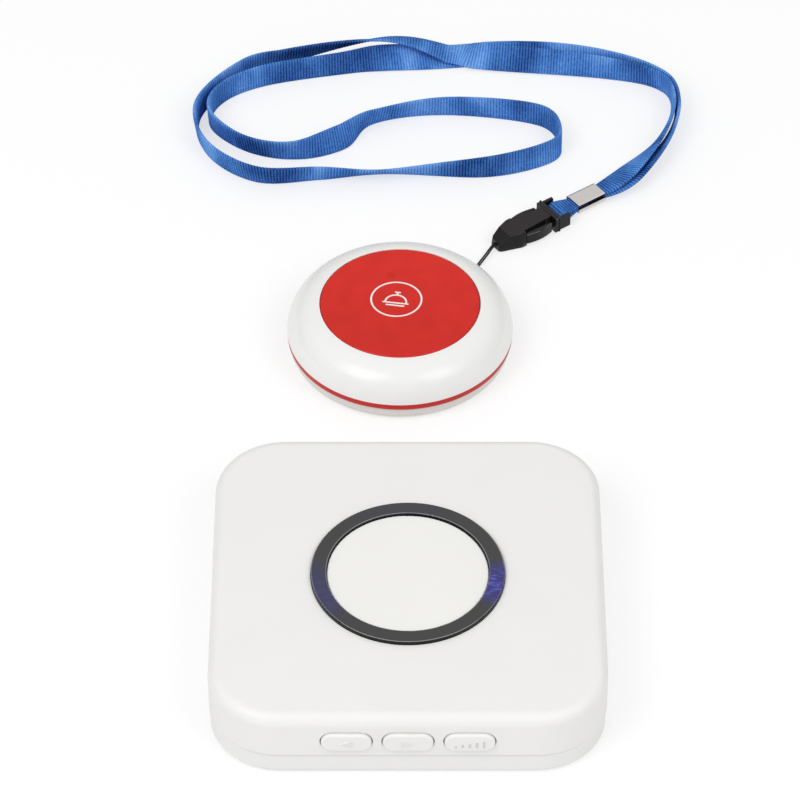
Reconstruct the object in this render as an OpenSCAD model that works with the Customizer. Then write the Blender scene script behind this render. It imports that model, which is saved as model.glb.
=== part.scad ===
// Caregiver pager set: a desk receiver with a light ring, a round call pendant and its neck lanyard.
// The origin lies on the table, in the middle of the receiver and the pendant. The buttons face -Y.

/* [Receiver case] */
// Width and depth of the receiver
receiver_w = 100; // [96:1:120]
// Height of the receiver, from the table to its top face
receiver_h = 20; // [18:0.5:26]
// Plan radius of the receiver's corners
corner_r = 18; // [14:0.5:22]
// Rounding of the top edge
top_edge_r = 3; // [1:0.25:4]
// Rounding of the bottom edge
bottom_edge_r = 1; // [0.5:0.1:1.5]
// Wall of the two receiver shells
case_wall = 2; // [1.6:0.1:2.4]
// Height of the joint line above the table
seam_z = 6.9; // [6:0.1:7.2]
// Open line between the two shells
seam_gap = 0.3; // [0.1:0.05:0.4]
// How far the lower shell stands in from the upper one
base_inset = 0.3; // [0.1:0.1:0.6]
// Height of the lip that lines up the two shells
lip_h = 1; // [0.6:0.1:1.2]
// Thickness of that lip
lip_t = 1; // [0.8:0.1:1.4]
// Distance of the case screws from the case sides
boss_inset = 13; // [11:0.5:15]
// Diameter of the case screw bosses
boss_d = 8; // [7.4:0.2:9]
// Height of the rubber feet below the lower shell
foot_h = 0.6; // [0.5:0.1:1]
// Diameter of a rubber foot
foot_d = 9; // [6:0.5:11]
// Distance of a foot from the left or right side
foot_inset_x = 23; // [20:0.5:26]
// Distance of a foot from the front or rear side
foot_inset_y = 9; // [8:0.5:11]

/* [Light ring] */
// Outer diameter of the smoked ring
ring_d = 49.6; // [44:0.2:56]
// Width of the ring's top face
ring_w = 4.1; // [3:0.1:6]
// How far the ring stands above the top face
ring_proud = 1.1; // [0.6:0.1:1.6]
// Depth of the ring's seat in the top face
ring_recess = 1; // [0.6:0.1:1.2]
// How far the white disc lies below the ring's top
disc_drop = 0.7; // [0.3:0.1:1]
// Width of the ledge that carries the disc
disc_seat = 1.5; // [1:0.1:2]
// Thickness of the light board
led_board_t = 0.8; // [0.6:0.1:1]
// Number of lamps under the ring
led_count = 8; // [6:1:16]

/* [Side buttons] */
// Length of a side button
button_l = 12.6; // [10:0.2:13.4]
// Height of a side button
button_w = 5.8; // [5:0.2:6.2]
// Distance between button centres
button_pitch = 15.3; // [14.5:0.1:18]
// Height of the button centres above the table
button_z = 12.1; // [11.7:0.1:13]
// How far a button stands out of the front wall
button_proud = 0.9; // [0.7:0.1:1.4]
// Press travel of a side button
button_travel = 0.5; // [0.3:0.05:0.6]

/* [Battery bay] */
// Diameter of a cell
cell_d = 10.5; // [10:0.1:10.8]
// Length of a cell with its cap
cell_l = 44.5; // [43:0.5:46]
// Length left beside a cell for its spring and plates
contact_room = 5.5; // [5.5:0.1:7]
// Thickness of the sliding door
door_t = 1.5; // [1.4:0.1:1.7]
// Wall of the battery bay
bay_wall = 1.2; // [1:0.1:1.6]
// Distance of the bay from the right side of the case
bay_inset = 7; // [6.5:0.1:10]

/* [Speaker] */
// Space left round the speaker
speaker_gap = 1.6; // [1:0.1:4]
// Height of the speaker with its magnet
speaker_h = 8; // [6.5:0.5:10]
// Diameter of a sound hole
sound_hole_d = 1.8; // [1.2:0.1:2.2]

/* [Pendant] */
// Diameter of the pendant
pendant_d = 62; // [60:0.5:70]
// Height of the pendant's white shell above the table
pendant_h = 16; // [15:0.5:19]
// Diameter of the red call button
call_d = 43.8; // [40:0.2:46]
// How far the call button stands above its shell
call_proud = 0.2; // [0:0.1:0.8]
// Press travel of the call button
call_travel = 0.5; // [0.3:0.05:0.6]
// Height of the pendant's base
base_h = 5; // [4.8:0.1:5.6]
// Height of the red band above the base
band_h = 1.8; // [1.2:0.1:2.4]
// Rounding under the base
base_edge_r = 3.5; // [2:0.1:4]
// Wall of the pendant's shell
pendant_wall = 2; // [1.6:0.1:2.4]
// Open distance between the receiver and the pendant
pendant_gap = 26; // [10:1:40]
// How far the pendant lies to the left of the receiver's middle
pendant_left = 2; // [0:0.5:10]
// Direction of the strap notch, from +X towards +Y
strap_angle = 56; // [50:1:62]

/* [Lanyard] */
// Width of the ribbon
ribbon_w = 8; // [7:0.2:8.4]
// Thickness of the ribbon
ribbon_t = 0.9; // [0.7:0.05:1]
// Diameter of the thin strap cord
cord_d = 0.5; // [0.45:0.05:0.7]
// Length of the buckle's nose, from its tip to the collar
nose_l = 18; // [16:0.5:20]
// Width of the buckle's nose at the collar
nose_w = 9.2; // [8.8:0.1:10]
// Width of the nose at its tip
nose_tip_w = 4.6; // [4:0.1:5.6]
// Height of the buckle's nose
nose_h = 4.6; // [4.2:0.1:5.4]
// Thickness of the buckle's collar
collar_t = 1.6; // [1.2:0.1:2.2]
// Width of the ribbon where it is folded round the buckle's bar
loop_w = 6.6; // [6.2:0.2:7]
// Width of the ribbon where the crimp gathers it
gathered_w = 5; // [4.8:0.2:6]
// Length of the crimp
crimp_l = 9.5; // [8:0.5:12]
// Sheet thickness of the crimp
crimp_t = 0.4; // [0.3:0.05:0.6]

/* [Hidden] */
$fn = 64;
// Clearances: sliding pieces, side buttons, seated pieces, running pins and screws
slide_clear = 0.15;
button_gap = 0.3;
seat_clear = 0.1;
pin_clear = 0.03;
screw_clear = 0.05;
eps = 0.5;

// Places of the receiver and the pendant about the shared middle
case_half = receiver_w / 2;
receiver_y = -(pendant_gap + pendant_d - button_proud) / 2;
pendant_at = [-pendant_left, receiver_y + case_half + pendant_gap + pendant_d / 2];

// Levels of the receiver
case_floor = foot_h + case_wall;
roof_z = receiver_h - case_wall;
cavity_half = case_half - case_wall;
lip_half = cavity_half - seat_clear;
lower_half = case_half - base_inset;
lower_cavity_half = lip_half - lip_t;
boss_at = case_half - boss_inset;
boss_places = [for (x = [-boss_at, boss_at], y = [-boss_at, boss_at]) [x, y]];
foot_x = case_half - foot_inset_x;
foot_y = case_half - foot_inset_y;
foot_places = [for (x = [-foot_x, foot_x], y = [-foot_y, foot_y]) [x, y]];
foot_sink = 0.6;

// Case screws
screw_d = 2.9;
screw_head_d = 5.6;
screw_head_h = 1.8;
screw_sink = 2.6;
screw_l = 9;
screw_seat_z = foot_h + screw_sink;

// Light ring and light board
ring_r = ring_d / 2;
ring_bore_r = ring_r - ring_w;
ring_top = receiver_h + ring_proud;
ring_ledge_z = receiver_h - ring_recess;
ring_shoulder = 2.1;
ring_reach = 0.4;
neck_r = ring_r - ring_shoulder;
neck_bore_r = ring_bore_r - disc_seat;
neck_z = roof_z - ring_reach;
led_size = 2;
led_h = 0.8;
led_clear = 0.2;
led_board_z = neck_z - led_clear - led_h - led_board_t;
led_board_margin = 6.3;
led_board_r = neck_r + led_board_margin;
led_board_bore_r = neck_bore_r - 4;
led_screw_r = led_board_r - 2.5;
led_screw_angles = [60, 120, 240, 300];
led_screw_d = 1.6;
led_screw_head_d = 3.2;
led_screw_head_h = 1;
led_screw_l = 2.4;
led_boss_d = 4;

// Side buttons and their switches
front_y = -case_half;
button_edge_r = 0.6;
flange_t = 1;
flange_w = 0.8;
flange_y = front_y + case_wall + 0.05;
plunger_d = 3;
plunger_l = 1.6;
plunger_end_y = flange_y + flange_t + plunger_l;
press_gap = button_travel + 0.05;
actuator_d = 3.4;
actuator_l = 1.2;
switch_y = plunger_end_y + press_gap + actuator_l;
switch_w = 6;
switch_depth = 4;
switch_axis_h = 2.6;
button_xs = [-button_pitch, 0, button_pitch];

// Main board
board_t = 1.6;
board_top = button_z - switch_axis_h;
board_z = board_top - board_t;
board_half = boss_at - boss_d / 2 - 1.5;
board_front = -(lower_cavity_half - 1.5);
standoff_d = 5;
standoff_x = board_half - 4.5;
board_screw_d = 2;
board_screw_head_d = 4.2;
board_screw_head_h = 1.4;
board_screw_l = 3;

// Battery bay, cells and door
cell_count = 3;
cell_gap = 0.4;
cell_side_gap = 0.3;
cell_roof_gap = 0.15;
cell_nub_d = 3.8;
cell_nub_l = 0.8;
plate_t = 0.4;
plate_w = 8;
bay_half = (cell_count * cell_d + (cell_count - 1) * cell_gap) / 2 + cell_side_gap;
bay_right = case_half - bay_inset;
bay_left = bay_right - cell_l - contact_room;
cell_bottom = foot_h + door_t + cell_side_gap;
cell_z = cell_bottom + cell_d / 2;
bay_roof_z = cell_bottom + cell_d + cell_roof_gap;
bay_roof_t = 0.6;
cell_ys = [for (i = [0 : cell_count - 1]) (i - (cell_count - 1) / 2) * (cell_d + cell_gap)];
spring_l = contact_room - 2 * plate_t;
spring_wire_d = 0.6;
spring_turns = 4;
spring_base_r = 3.4;
spring_tip_r = 2.2;
board_rear = -(bay_half + bay_wall + 2);
door_left = bay_left - 2;
door_half = bay_half + 0.8;
door_tongue = 1.2;
door_tongue_t = 0.8;
rail_pad = 1.8;
rail_half = door_half + door_tongue + 1.2;

// Speaker
speaker_d = lower_cavity_half - rail_half - 2 * speaker_gap;
speaker_y = lower_cavity_half - speaker_gap - speaker_d / 2;
speaker_rim = 1.8;
speaker_rim_h = 1.2;
magnet_d = speaker_d * 0.58;
magnet_h = 3;

// Antenna wire
antenna_d = 1;
antenna_x = -(board_half - 1.5);
antenna_start_y = board_front + 7;
antenna_back = 16;
antenna_end_y = foot_y - antenna_back;
antenna_rise = 3;

// Pendant
pendant_r = pendant_d / 2;
band_top = base_h + band_h;
shell_r = pendant_h - band_top;
shell_centre_r = pendant_r - shell_r;
shell_inner_r = shell_r - pendant_wall;
call_r = call_d / 2;
call_open_r = call_r + slide_clear;
call_top = pendant_h + call_proud;
call_plate_t = 1.6;
call_wall = 1.8;
call_edge_r = 0.5;
call_flange_r = call_open_r + 1.2;
call_flange_t = 0.8;
flange_reach = max(0, call_flange_r - shell_centre_r);
call_flange_top = band_top + sqrt(shell_inner_r * shell_inner_r - flange_reach * flange_reach) - slide_clear;
call_flange_z = call_flange_top - call_flange_t;
base_r = pendant_r - 0.6;
base_wall = 3.4;
base_floor = 1.6;
coin_r = 10;
coin_t = 3.2;
clip_t = 0.8;
clip_w = 7;
clip_leg_t = 0.4;
pendant_board_r = call_r - 0.6;
pendant_board_t = 1.2;
pendant_board_z = base_floor + coin_t + clip_t;
pendant_board_top = pendant_board_z + pendant_board_t;
support_w = 1.8;
call_switch_h = 3.5;
call_actuator_h = 1;
call_plunger_r = 3;
call_plunger_z = pendant_board_top + call_switch_h + call_actuator_h + call_travel + 0.1;
pendant_screw_r = pendant_r - 5;
pendant_screw_d = 2;
pendant_screw_head_d = 3.8;
pendant_screw_head_h = 1.3;
pendant_screw_sink = 1.6;
pendant_screw_l = 8;
pendant_boss_d = 5.2;
shell_boss_d = 4.6;
shell_boss_top = call_flange_z - call_travel - 0.3;
pendant_screw_angles = [for (a = [60, 180, 300]) strap_angle + a];
led_place = [-2.6, 11];
led_r = 1.5;
led_body_h = 2;

// Strap notch and its post
notch_w = 7;
notch_h = 3;
notch_z = 1.2;
post_d = 2.4;
post_r = base_r - 3.8;
notch_inner_r = post_r - post_d / 2 - cord_d - 0.6;
notch_block_w = notch_w + 3;
notch_block_r = notch_inner_r - 1.4;
post_sink = 0.5;
post_at = pendant_at + post_r * [cos(strap_angle), sin(strap_angle)];

// Buckle, in its own frame: the tip of the nose at the origin, +X towards the ribbon
buckle_at = [12, 18];
buckle_angle = 36;
buckle_lift = 0.4;
nose_taper_l = 6.5;
nose_shoulder_l = 8;
nose_corner = 0.6;
nose_foot_h = 1;
nose_draft = 0.6;
nose_slope_l = 3.2;
nose_slope_h = 1.8;
core_root_w = nose_w - 3.2;
core_end_w = nose_w - 4.4;
arm_gap = 0.15;
arm_dip = 0.4;
arm_bulge = 0.3;
arm_end_gap = 1.2;
arm_edge = 0.3;
arm_drop = 0.9;
arm_root_x = nose_shoulder_l + arm_gap;
arm_end_x = nose_l - 1;
arm_root_y = core_root_w / 2 + arm_gap;
arm_end_y = core_end_w / 2 + arm_end_gap;
cord_hole_d = 2 * cord_d + 0.5;
cord_hole_l = 4;
cord_hole_z = buckle_lift + (nose_h - nose_slope_h) / 2;
prong_w = 3.2;
prong_h = 1.8;
prong_l = 8;
collar_w = nose_w;
collar_h = buckle_lift + nose_h;
collar_rim = 0.2;
collar_rim_t = 0.5;
collar_x = nose_l + seat_clear;
frame_x = collar_x + collar_t;
frame_wall = 0.85;
frame_inner_w = loop_w + 0.6;
frame_h = 4.4;
frame_z = 0.3;
bar_r = 0.6;
bar_from_collar = 2.8;
bar_x = frame_x + bar_from_collar;
bar_z = frame_z + frame_h / 2;
prong_z = bar_z + 0.6;
frame_end_x = bar_x + bar_r + 0.3;

// Folded ribbon end and crimp
loop_gap = 0.05;
loop_inner_r = bar_r + loop_gap;
crimp_from_bar = 5.2;
crimp_x = bar_x + crimp_from_bar;
crimp_room = 0.4;
crimp_inner_h = 2 * ribbon_t + 2 * loop_gap + crimp_room;
crimp_side_gap = 0.2;
crimp_bore_w = gathered_w + 2 * crimp_side_gap;
crimp_corner_r = crimp_t + 0.5;
crimp_slit = 0.6;
crimp_end_x = crimp_x + crimp_l;
loop_end_x = crimp_x + crimp_l / 2 - 0.2;
strand_start_x = crimp_x + crimp_l / 2 + 0.2;
layer_z = loop_gap + ribbon_t / 2;

// A place on the buckle's middle line, or beside it, seen from the strap post
buckle_along = [cos(buckle_angle), sin(buckle_angle)];
buckle_across = [-sin(buckle_angle), cos(buckle_angle)];
function buckle_point(x, y) = buckle_at + x * buckle_along + y * buckle_across;

// Route of the ribbon, seen from the strap post: X, Y, lean in degrees and lift off the table.
// A lean of 0 or -180 stands on edge and -90 lies flat. Both ends lie in the crimp, one above the other.
ribbon_free = [
    [50, 47, -66, 1.8],
    [60, 61, -30, 0.8],
    [64.8, 76, -6, 0.2],
    [62, 87.5, 8, 0],
    [46, 94, -2, 0],
    [11, 99.6, -40, 0.4],
    [1, 102.5, -85, 1.6],
    [-19, 103.4, -122, 4.8],
    [-51, 98.5, -165, 0],
    [-64, 90.5, -180, 0],
    [-74, 74, -185, 0],
    [-70, 57, -192, 0],
    [-56, 46, -196, 0],
    [-38, 46.5, -204, 0],
    [-19, 48, -224, 0],
    [9, 49, -184, 0],
    [27, 55, -175, 0],
    [31.5, 62, -180, 0],
    [25.5, 72.5, -180, 0],
    [-1, 76.5, -170, 0],
    [-22, 72, -160, 0],
    [-32, 62.5, -200, 0],
    [-46, 56.5, -170, 0],
    [-60, 60, -165, 0],
    [-70, 71, -175, 0],
    [-67.5, 82, -180, 0],
    [-55, 90.5, -180, 0],
    [-31, 96.5, -175, 0],
    [-19, 99.4, -146, 0],
    [1, 102.5, -95, 0],
    [11, 102.5, -120, 0],
    [46.5, 97.3, -180, 0],
    [63, 88.3, -188, 0],
    [66.1, 75.8, -174, 0],
    [61.5, 60.2, -148, 0],
    [51.2, 46, -114, 0.4]
];
crimp_in = buckle_point(strand_start_x, 0);
crimp_out = buckle_point(crimp_end_x, 0);
upper_lift = bar_z + layer_z - ribbon_t / 2;
lower_lift = bar_z - layer_z - ribbon_t / 2;
ribbon_route = concat(
    [for (p = [crimp_in, crimp_out]) [p[0], p[1], -90, upper_lift, gathered_w]],
    [for (p = ribbon_free) concat(p, ribbon_w)],
    [for (p = [crimp_out, crimp_in]) [p[0], p[1], -90, lower_lift, gathered_w]]
);
ribbon_rings_per_span = 2;

// Route of the thin cord, seen from the strap post: out of the nose, round the post and back.
// Z is the height of the cord's centre. Between the nose and the pendant it lies on the table.
cord_z = notch_z + notch_h / 2;
cord_rest = cord_d / 2 + 0.1;
cord_beside = cord_d / 2 + 0.05;
cord_turn_r = (post_d + cord_d) / 2 + 0.05;
cord_turn_steps = 8;
cord_turn = [
    for (i = [0 : cord_turn_steps])
        let (a = strap_angle + 90 + 180 * i / cord_turn_steps)
        [cord_turn_r * cos(a), cord_turn_r * sin(a), cord_z]
];
cord_strand = [
    for (x = [3, -0.4])
        let (p = buckle_point(x, cord_beside))
        [p[0], p[1], cord_hole_z]
];
cord_return = [
    for (x = [-0.4, 3])
        let (p = buckle_point(x, -cord_beside))
        [p[0], p[1], cord_hole_z]
];
cord_rows = [[16.5, 1.2], [11, cord_rest], [6, 1.2]];
function strap_point(along, beside, z) =
    let (d = unit(buckle_at))
    [along * d[0] - beside * d[1], along * d[1] + beside * d[0], z];
cord_route = concat(
    cord_strand,
    [for (row = cord_rows) strap_point(row[0], cord_beside, row[1])],
    cord_turn,
    [for (i = [len(cord_rows) - 1 : -1 : 0]) strap_point(cord_rows[i][0], -cord_beside, cord_rows[i][1])],
    cord_return
);
cord_rings_per_span = 2;

// Shared shapes

// Half of a section, from its middle line to an outer side with a round bottom edge
module half_section_flat(reach, h, bottom_r) {
    square([reach - bottom_r, h]);
    translate([0, bottom_r])
        square([reach, h - bottom_r]);
    intersection() {
        translate([reach - bottom_r, bottom_r])
            circle(bottom_r);
        square([reach, h]);
    }
}

// Half of a section, from its middle line to an outer side with a round top edge
module half_section_domed(reach, h, top_r) {
    square([reach - top_r, h]);
    square([reach, h - top_r]);
    translate([reach - top_r, h - top_r])
        circle(top_r);
}

// Square block with round corners, whose sides follow the half section given as its child
module rounded_block(half, r, h) {
    straight = half - r;
    translate([-straight, -straight, 0])
        cube([2 * straight, 2 * straight, h]);
    for (a = [0 : 90 : 270])
        rotate(a) {
            translate([straight, straight, 0])
                rotate_extrude(angle = 90)
                    children();
            translate([-straight, straight, 0])
                rotate([90, 0, 90])
                    linear_extrude(2 * straight)
                        children();
        }
}

// Square block with round corners and straight sides
module plain_block(half, r, h) {
    rounded_block(half, r, h)
        square([r, h]);
}

// Long button with round ends: length along X, height along Z, front face at y = 0, reaching to +Y
module pill(l, w, depth, front_r) {
    straight = l - w;
    rotate([90, 0, 0])
        translate([0, 0, -depth]) {
            for (side = [0, 1])
                mirror([side, 0, 0])
                    translate([straight / 2, 0, 0])
                        rotate(-90)
                            rotate_extrude(angle = 180)
                                half_section_domed(w / 2, depth, front_r);
            for (side = [0, 1])
                mirror([0, side, 0])
                    translate([-straight / 2, 0, 0])
                        rotate([90, 0, 90])
                            linear_extrude(straight)
                                half_section_domed(w / 2, depth, front_r);
        }
}

// Pill with straight sides, for holes and flanges
module plain_pill(l, w, depth) {
    rotate([-90, 0, 0])
        linear_extrude(depth) {
            square([l - w, w], center = true);
            for (x = [-(l - w) / 2, (l - w) / 2])
                translate([x, 0])
                    circle(w / 2);
        }
}

// Screw with its head below z = 0 and its shank above
module screw(d, l, head_d, head_h) {
    cylinder(d = d, h = l);
    translate([0, 0, -head_h])
        difference() {
            cylinder(d = head_d, h = head_h);
            for (a = [0, 90])
                rotate(a)
                    translate([-head_d * 0.3, -head_d * 0.06, -eps])
                        cube([head_d * 0.6, head_d * 0.12, eps + head_h * 0.45]);
        }
}

// Curves and swept tubes

function knot(p, i) =
    i < 0 ? 2 * p[0] - p[1] :
    i >= len(p) ? 2 * p[len(p) - 1] - p[len(p) - 2] :
    p[i];

// Point on the smooth curve through the points p, where a whole u is a point of the list
function curve(p, u) =
    let (i = min(floor(u), len(p) - 2), t = u - i)
    let (a = knot(p, i - 1), b = knot(p, i), c = knot(p, i + 1), d = knot(p, i + 2))
    0.5 * (2 * b + (c - a) * t + (2 * a - 5 * b + 4 * c - d) * t * t + (3 * b - a - 3 * c + d) * t * t * t);

function unit(v) = v / norm(v);

// Triangles that join rings of the same number of points into one closed tube
module skin(rings) {
    n = len(rings[0]);
    last = len(rings) - 1;
    sides = [
        for (i = [0 : last - 1], k = [0 : n - 1])
            let (a = i * n + k, b = i * n + (k + 1) % n)
            each [[a, a + n, b], [b, a + n, b + n]]
    ];
    start_cap = [for (k = [1 : n - 2]) [0, k, k + 1]];
    end_cap = [for (k = [1 : n - 2]) [last * n, last * n + k + 1, last * n + k]];
    polyhedron(
        points = [for (ring = rings) each ring],
        faces = concat(sides, start_cap, end_cap),
        convexity = 8
    );
}

// Round tube of diameter d along the points path, with rings square to it
module tube(path, d, sides) {
    last = len(path) - 1;
    rings = [
        for (i = [0 : last])
            let (along = unit(path[min(last, i + 1)] - path[max(0, i - 1)]))
            let (across = unit(cross(along, abs(along[2]) > 0.9 ? [0, 1, 0] : [0, 0, 1])))
            let (up = cross(across, along))
            [for (k = [0 : sides - 1])
                let (a = 360 * (k + 0.5) / sides)
                path[i] + d / 2 * (cos(a) * across + sin(a) * up)]
    ];
    skin(rings);
}

// Receiver

module at_receiver() {
    translate([0, receiver_y, 0])
        children();
}

module lower_form() {
    translate([0, 0, foot_h])
        rounded_block(lower_half, corner_r - base_inset, seam_z - seam_gap - foot_h)
            half_section_flat(corner_r - base_inset, seam_z - seam_gap - foot_h, bottom_edge_r);
}

module top_cover() {
    inner_edge_r = max(top_edge_r - case_wall, 0.4);
    inner_r = corner_r - case_wall;
    color("white")
    at_receiver()
    difference() {
        union() {
            difference() {
                translate([0, 0, seam_z])
                    rounded_block(case_half, corner_r, receiver_h - seam_z)
                        half_section_domed(corner_r, receiver_h - seam_z, top_edge_r);
                translate([0, 0, seam_z - eps])
                    rounded_block(cavity_half, inner_r, roof_z - seam_z + eps)
                        half_section_domed(inner_r, roof_z - seam_z + eps, inner_edge_r);
            }
            for (p = boss_places)
                translate([p[0], p[1], seam_z])
                    cylinder(d = boss_d - 1, h = roof_z - seam_z + eps);
            for (a = led_screw_angles)
                rotate(a)
                    translate([led_screw_r, 0, led_board_z + led_board_t])
                        cylinder(d = led_boss_d, h = roof_z - led_board_z - led_board_t + eps);
        }
        translate([0, 0, ring_ledge_z])
            cylinder(r = ring_r + seat_clear, h = ring_recess + eps);
        translate([0, 0, roof_z - eps])
            cylinder(r = neck_r + seat_clear, h = case_wall + 2 * eps);
        for (x = button_xs)
            translate([x, front_y - eps, button_z])
                plain_pill(button_l + 2 * button_gap, button_w + 2 * button_gap, case_wall + 2 * eps);
        for (p = boss_places)
            translate([p[0], p[1], seam_z - eps])
                cylinder(r = screw_d / 2 + screw_clear, h = screw_seat_z + screw_l - seam_z + 2 * eps);
        for (a = led_screw_angles)
            rotate(a)
                translate([led_screw_r, 0, led_board_z])
                    cylinder(r = led_screw_d / 2 + screw_clear, h = led_screw_l + 0.2);
    }
}

module sound_holes() {
    hole_ring = speaker_d * 0.13;
    for (ring = [0 : 2])
        for (i = [0 : max(0, 6 * ring - 1)])
            rotate(ring == 0 ? 0 : 360 * i / (6 * ring))
                translate([ring * hole_ring, 0, foot_h - eps])
                    cylinder(d = sound_hole_d, h = case_wall + 2 * eps);
}

// Grooves for the door, wider than it by the grow value and reaching past the right side of the case
module door_form(grow) {
    right = case_half + grow;
    translate([door_left - grow, -door_half - grow, foot_h - grow])
        cube([right - door_left + grow, 2 * (door_half + grow), door_t + 2 * grow]);
    translate([door_left - grow, -door_half - door_tongue - grow, foot_h + door_t - door_tongue_t - grow])
        cube([right - door_left + grow, 2 * (door_half + door_tongue + grow), door_tongue_t + 2 * grow]);
}

module back_cover() {
    lip_r = corner_r - case_wall - seat_clear;
    cavity_r = lip_r - lip_t;
    color("whitesmoke")
    at_receiver()
    difference() {
        union() {
            difference() {
                union() {
                    lower_form();
                    translate([0, 0, seam_z - seam_gap - eps])
                        plain_block(lip_half, lip_r, lip_h + seam_gap + eps);
                }
                translate([0, 0, case_floor])
                    plain_block(lower_cavity_half, cavity_r, seam_z + lip_h);
            }
            for (p = boss_places)
                translate([p[0], p[1], case_floor - eps])
                    cylinder(d = boss_d, h = seam_z - case_floor + eps);
            for (x = [-standoff_x, standoff_x])
                translate([x, (board_front + board_rear) / 2, case_floor - eps])
                    cylinder(d = standoff_d, h = board_z - case_floor + eps);
            translate([bay_left - bay_wall, -bay_half - bay_wall, case_floor - eps])
                cube([
                    bay_right - bay_left + 2 * bay_wall,
                    2 * (bay_half + bay_wall),
                    bay_roof_z + bay_roof_t - case_floor + eps
                ]);
            translate([door_left - 2, -rail_half, case_floor - eps])
                cube([
                    lower_cavity_half + eps - door_left + 2,
                    2 * rail_half,
                    foot_h + door_t + rail_pad - case_floor + eps
                ]);
        }
        translate([bay_left, -bay_half, foot_h + door_t])
            cube([bay_right - bay_left, 2 * bay_half, bay_roof_z - foot_h - door_t]);
        door_form(slide_clear);
        for (p = boss_places) {
            translate([p[0], p[1], foot_h - eps])
                cylinder(d = screw_head_d + 0.6, h = screw_sink + eps);
            translate([p[0], p[1], foot_h])
                cylinder(r = screw_d / 2 + screw_clear, h = seam_z);
        }
        for (p = foot_places)
            translate([p[0], p[1], foot_h - eps])
                cylinder(d = foot_d + 2 * seat_clear, h = foot_sink + eps);
        for (x = [-standoff_x, standoff_x])
            translate([x, (board_front + board_rear) / 2, board_z - board_screw_l])
                cylinder(r = board_screw_d / 2 + screw_clear, h = board_screw_l + eps);
        translate([0, speaker_y, 0])
            sound_holes();
    }
}

module light_ring() {
    edge = 0.4;
    color("dimgray")
    at_receiver()
    rotate_extrude()
        difference() {
            union() {
                translate([ring_bore_r, ring_ledge_z])
                    square([ring_r - ring_bore_r, ring_top - edge - ring_ledge_z]);
                translate([ring_bore_r + edge, ring_ledge_z])
                    square([ring_r - ring_bore_r - 2 * edge, ring_top - ring_ledge_z]);
                for (x = [ring_bore_r + edge, ring_r - edge])
                    translate([x, ring_top - edge])
                        circle(edge);
                translate([neck_bore_r, neck_z])
                    square([neck_r - neck_bore_r, ring_ledge_z - neck_z]);
            }
            translate([0, neck_z - eps])
                square([neck_bore_r, eps]);
        }
}

module centre_disc() {
    color("white")
    at_receiver()
    translate([0, 0, ring_ledge_z])
        rotate_extrude()
            half_section_domed(ring_bore_r - seat_clear, ring_top - disc_drop - ring_ledge_z, 0.3);
}

module led_board() {
    color("darkgreen")
    at_receiver()
    translate([0, 0, led_board_z])
        difference() {
            cylinder(r = led_board_r, h = led_board_t);
            translate([0, 0, -eps])
                cylinder(r = led_board_bore_r, h = led_board_t + 2 * eps);
            for (a = led_screw_angles)
                rotate(a)
                    translate([led_screw_r, 0, -eps])
                        cylinder(r = led_screw_d / 2 + screw_clear, h = led_board_t + 2 * eps);
        }
}

module leds() {
    color("lightyellow")
    at_receiver()
    for (i = [0 : led_count - 1])
        rotate(360 * (i + 0.5) / led_count)
            translate([(neck_r + neck_bore_r - led_size) / 2, -led_size / 2, led_board_z + led_board_t])
                cube([led_size, led_size, led_h]);
}

module led_screws() {
    color("silver")
    at_receiver()
    for (a = led_screw_angles)
        rotate(a)
            translate([led_screw_r, 0, led_board_z])
                screw(led_screw_d, led_screw_l, led_screw_head_d, led_screw_head_h);
}

module side_button(x) {
    color("white")
    at_receiver()
    translate([x, front_y - button_proud, button_z]) {
        pill(button_l, button_w, flange_y + flange_t - front_y + button_proud, button_edge_r);
        translate([0, flange_y - front_y + button_proud, 0])
            plain_pill(button_l + 2 * flange_w, button_w + 2 * flange_w, flange_t);
        translate([0, flange_y - front_y + button_proud, 0])
            rotate([-90, 0, 0])
                cylinder(d = plunger_d, h = flange_t + plunger_l);
    }
}

module button_previous() {
    side_button(button_xs[0]);
}

module button_next() {
    side_button(button_xs[1]);
}

module button_volume() {
    side_button(button_xs[2]);
}

module main_board() {
    color("darkgreen")
    at_receiver()
    difference() {
        translate([-board_half, board_front, board_z])
            cube([2 * board_half, board_rear - board_front, board_t]);
        for (x = [-standoff_x, standoff_x])
            translate([x, (board_front + board_rear) / 2, board_z - eps])
                cylinder(r = board_screw_d / 2 + screw_clear, h = board_t + 2 * eps);
    }
}

module side_switches() {
    color("black")
    at_receiver()
    for (x = button_xs) {
        translate([x - switch_w / 2, switch_y, board_top])
            cube([switch_w, switch_depth, 2 * switch_axis_h]);
        translate([x, switch_y, button_z])
            rotate([90, 0, 0])
                cylinder(d = actuator_d, h = actuator_l);
    }
}

module board_screws() {
    color("silver")
    at_receiver()
    for (x = [-standoff_x, standoff_x])
        translate([x, (board_front + board_rear) / 2, board_top])
            rotate([180, 0, 0])
                screw(board_screw_d, board_t + board_screw_l - 0.4, board_screw_head_d, board_screw_head_h);
}

module antenna() {
    color("goldenrod")
    at_receiver() {
        translate([antenna_x, antenna_start_y, board_top])
            cylinder(d = antenna_d, h = antenna_rise);
        translate([antenna_x, antenna_start_y, board_top + antenna_rise])
            sphere(d = antenna_d);
        translate([antenna_x, antenna_start_y, board_top + antenna_rise])
            rotate([-90, 0, 0])
                cylinder(d = antenna_d, h = antenna_end_y - antenna_start_y);
    }
}

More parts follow.
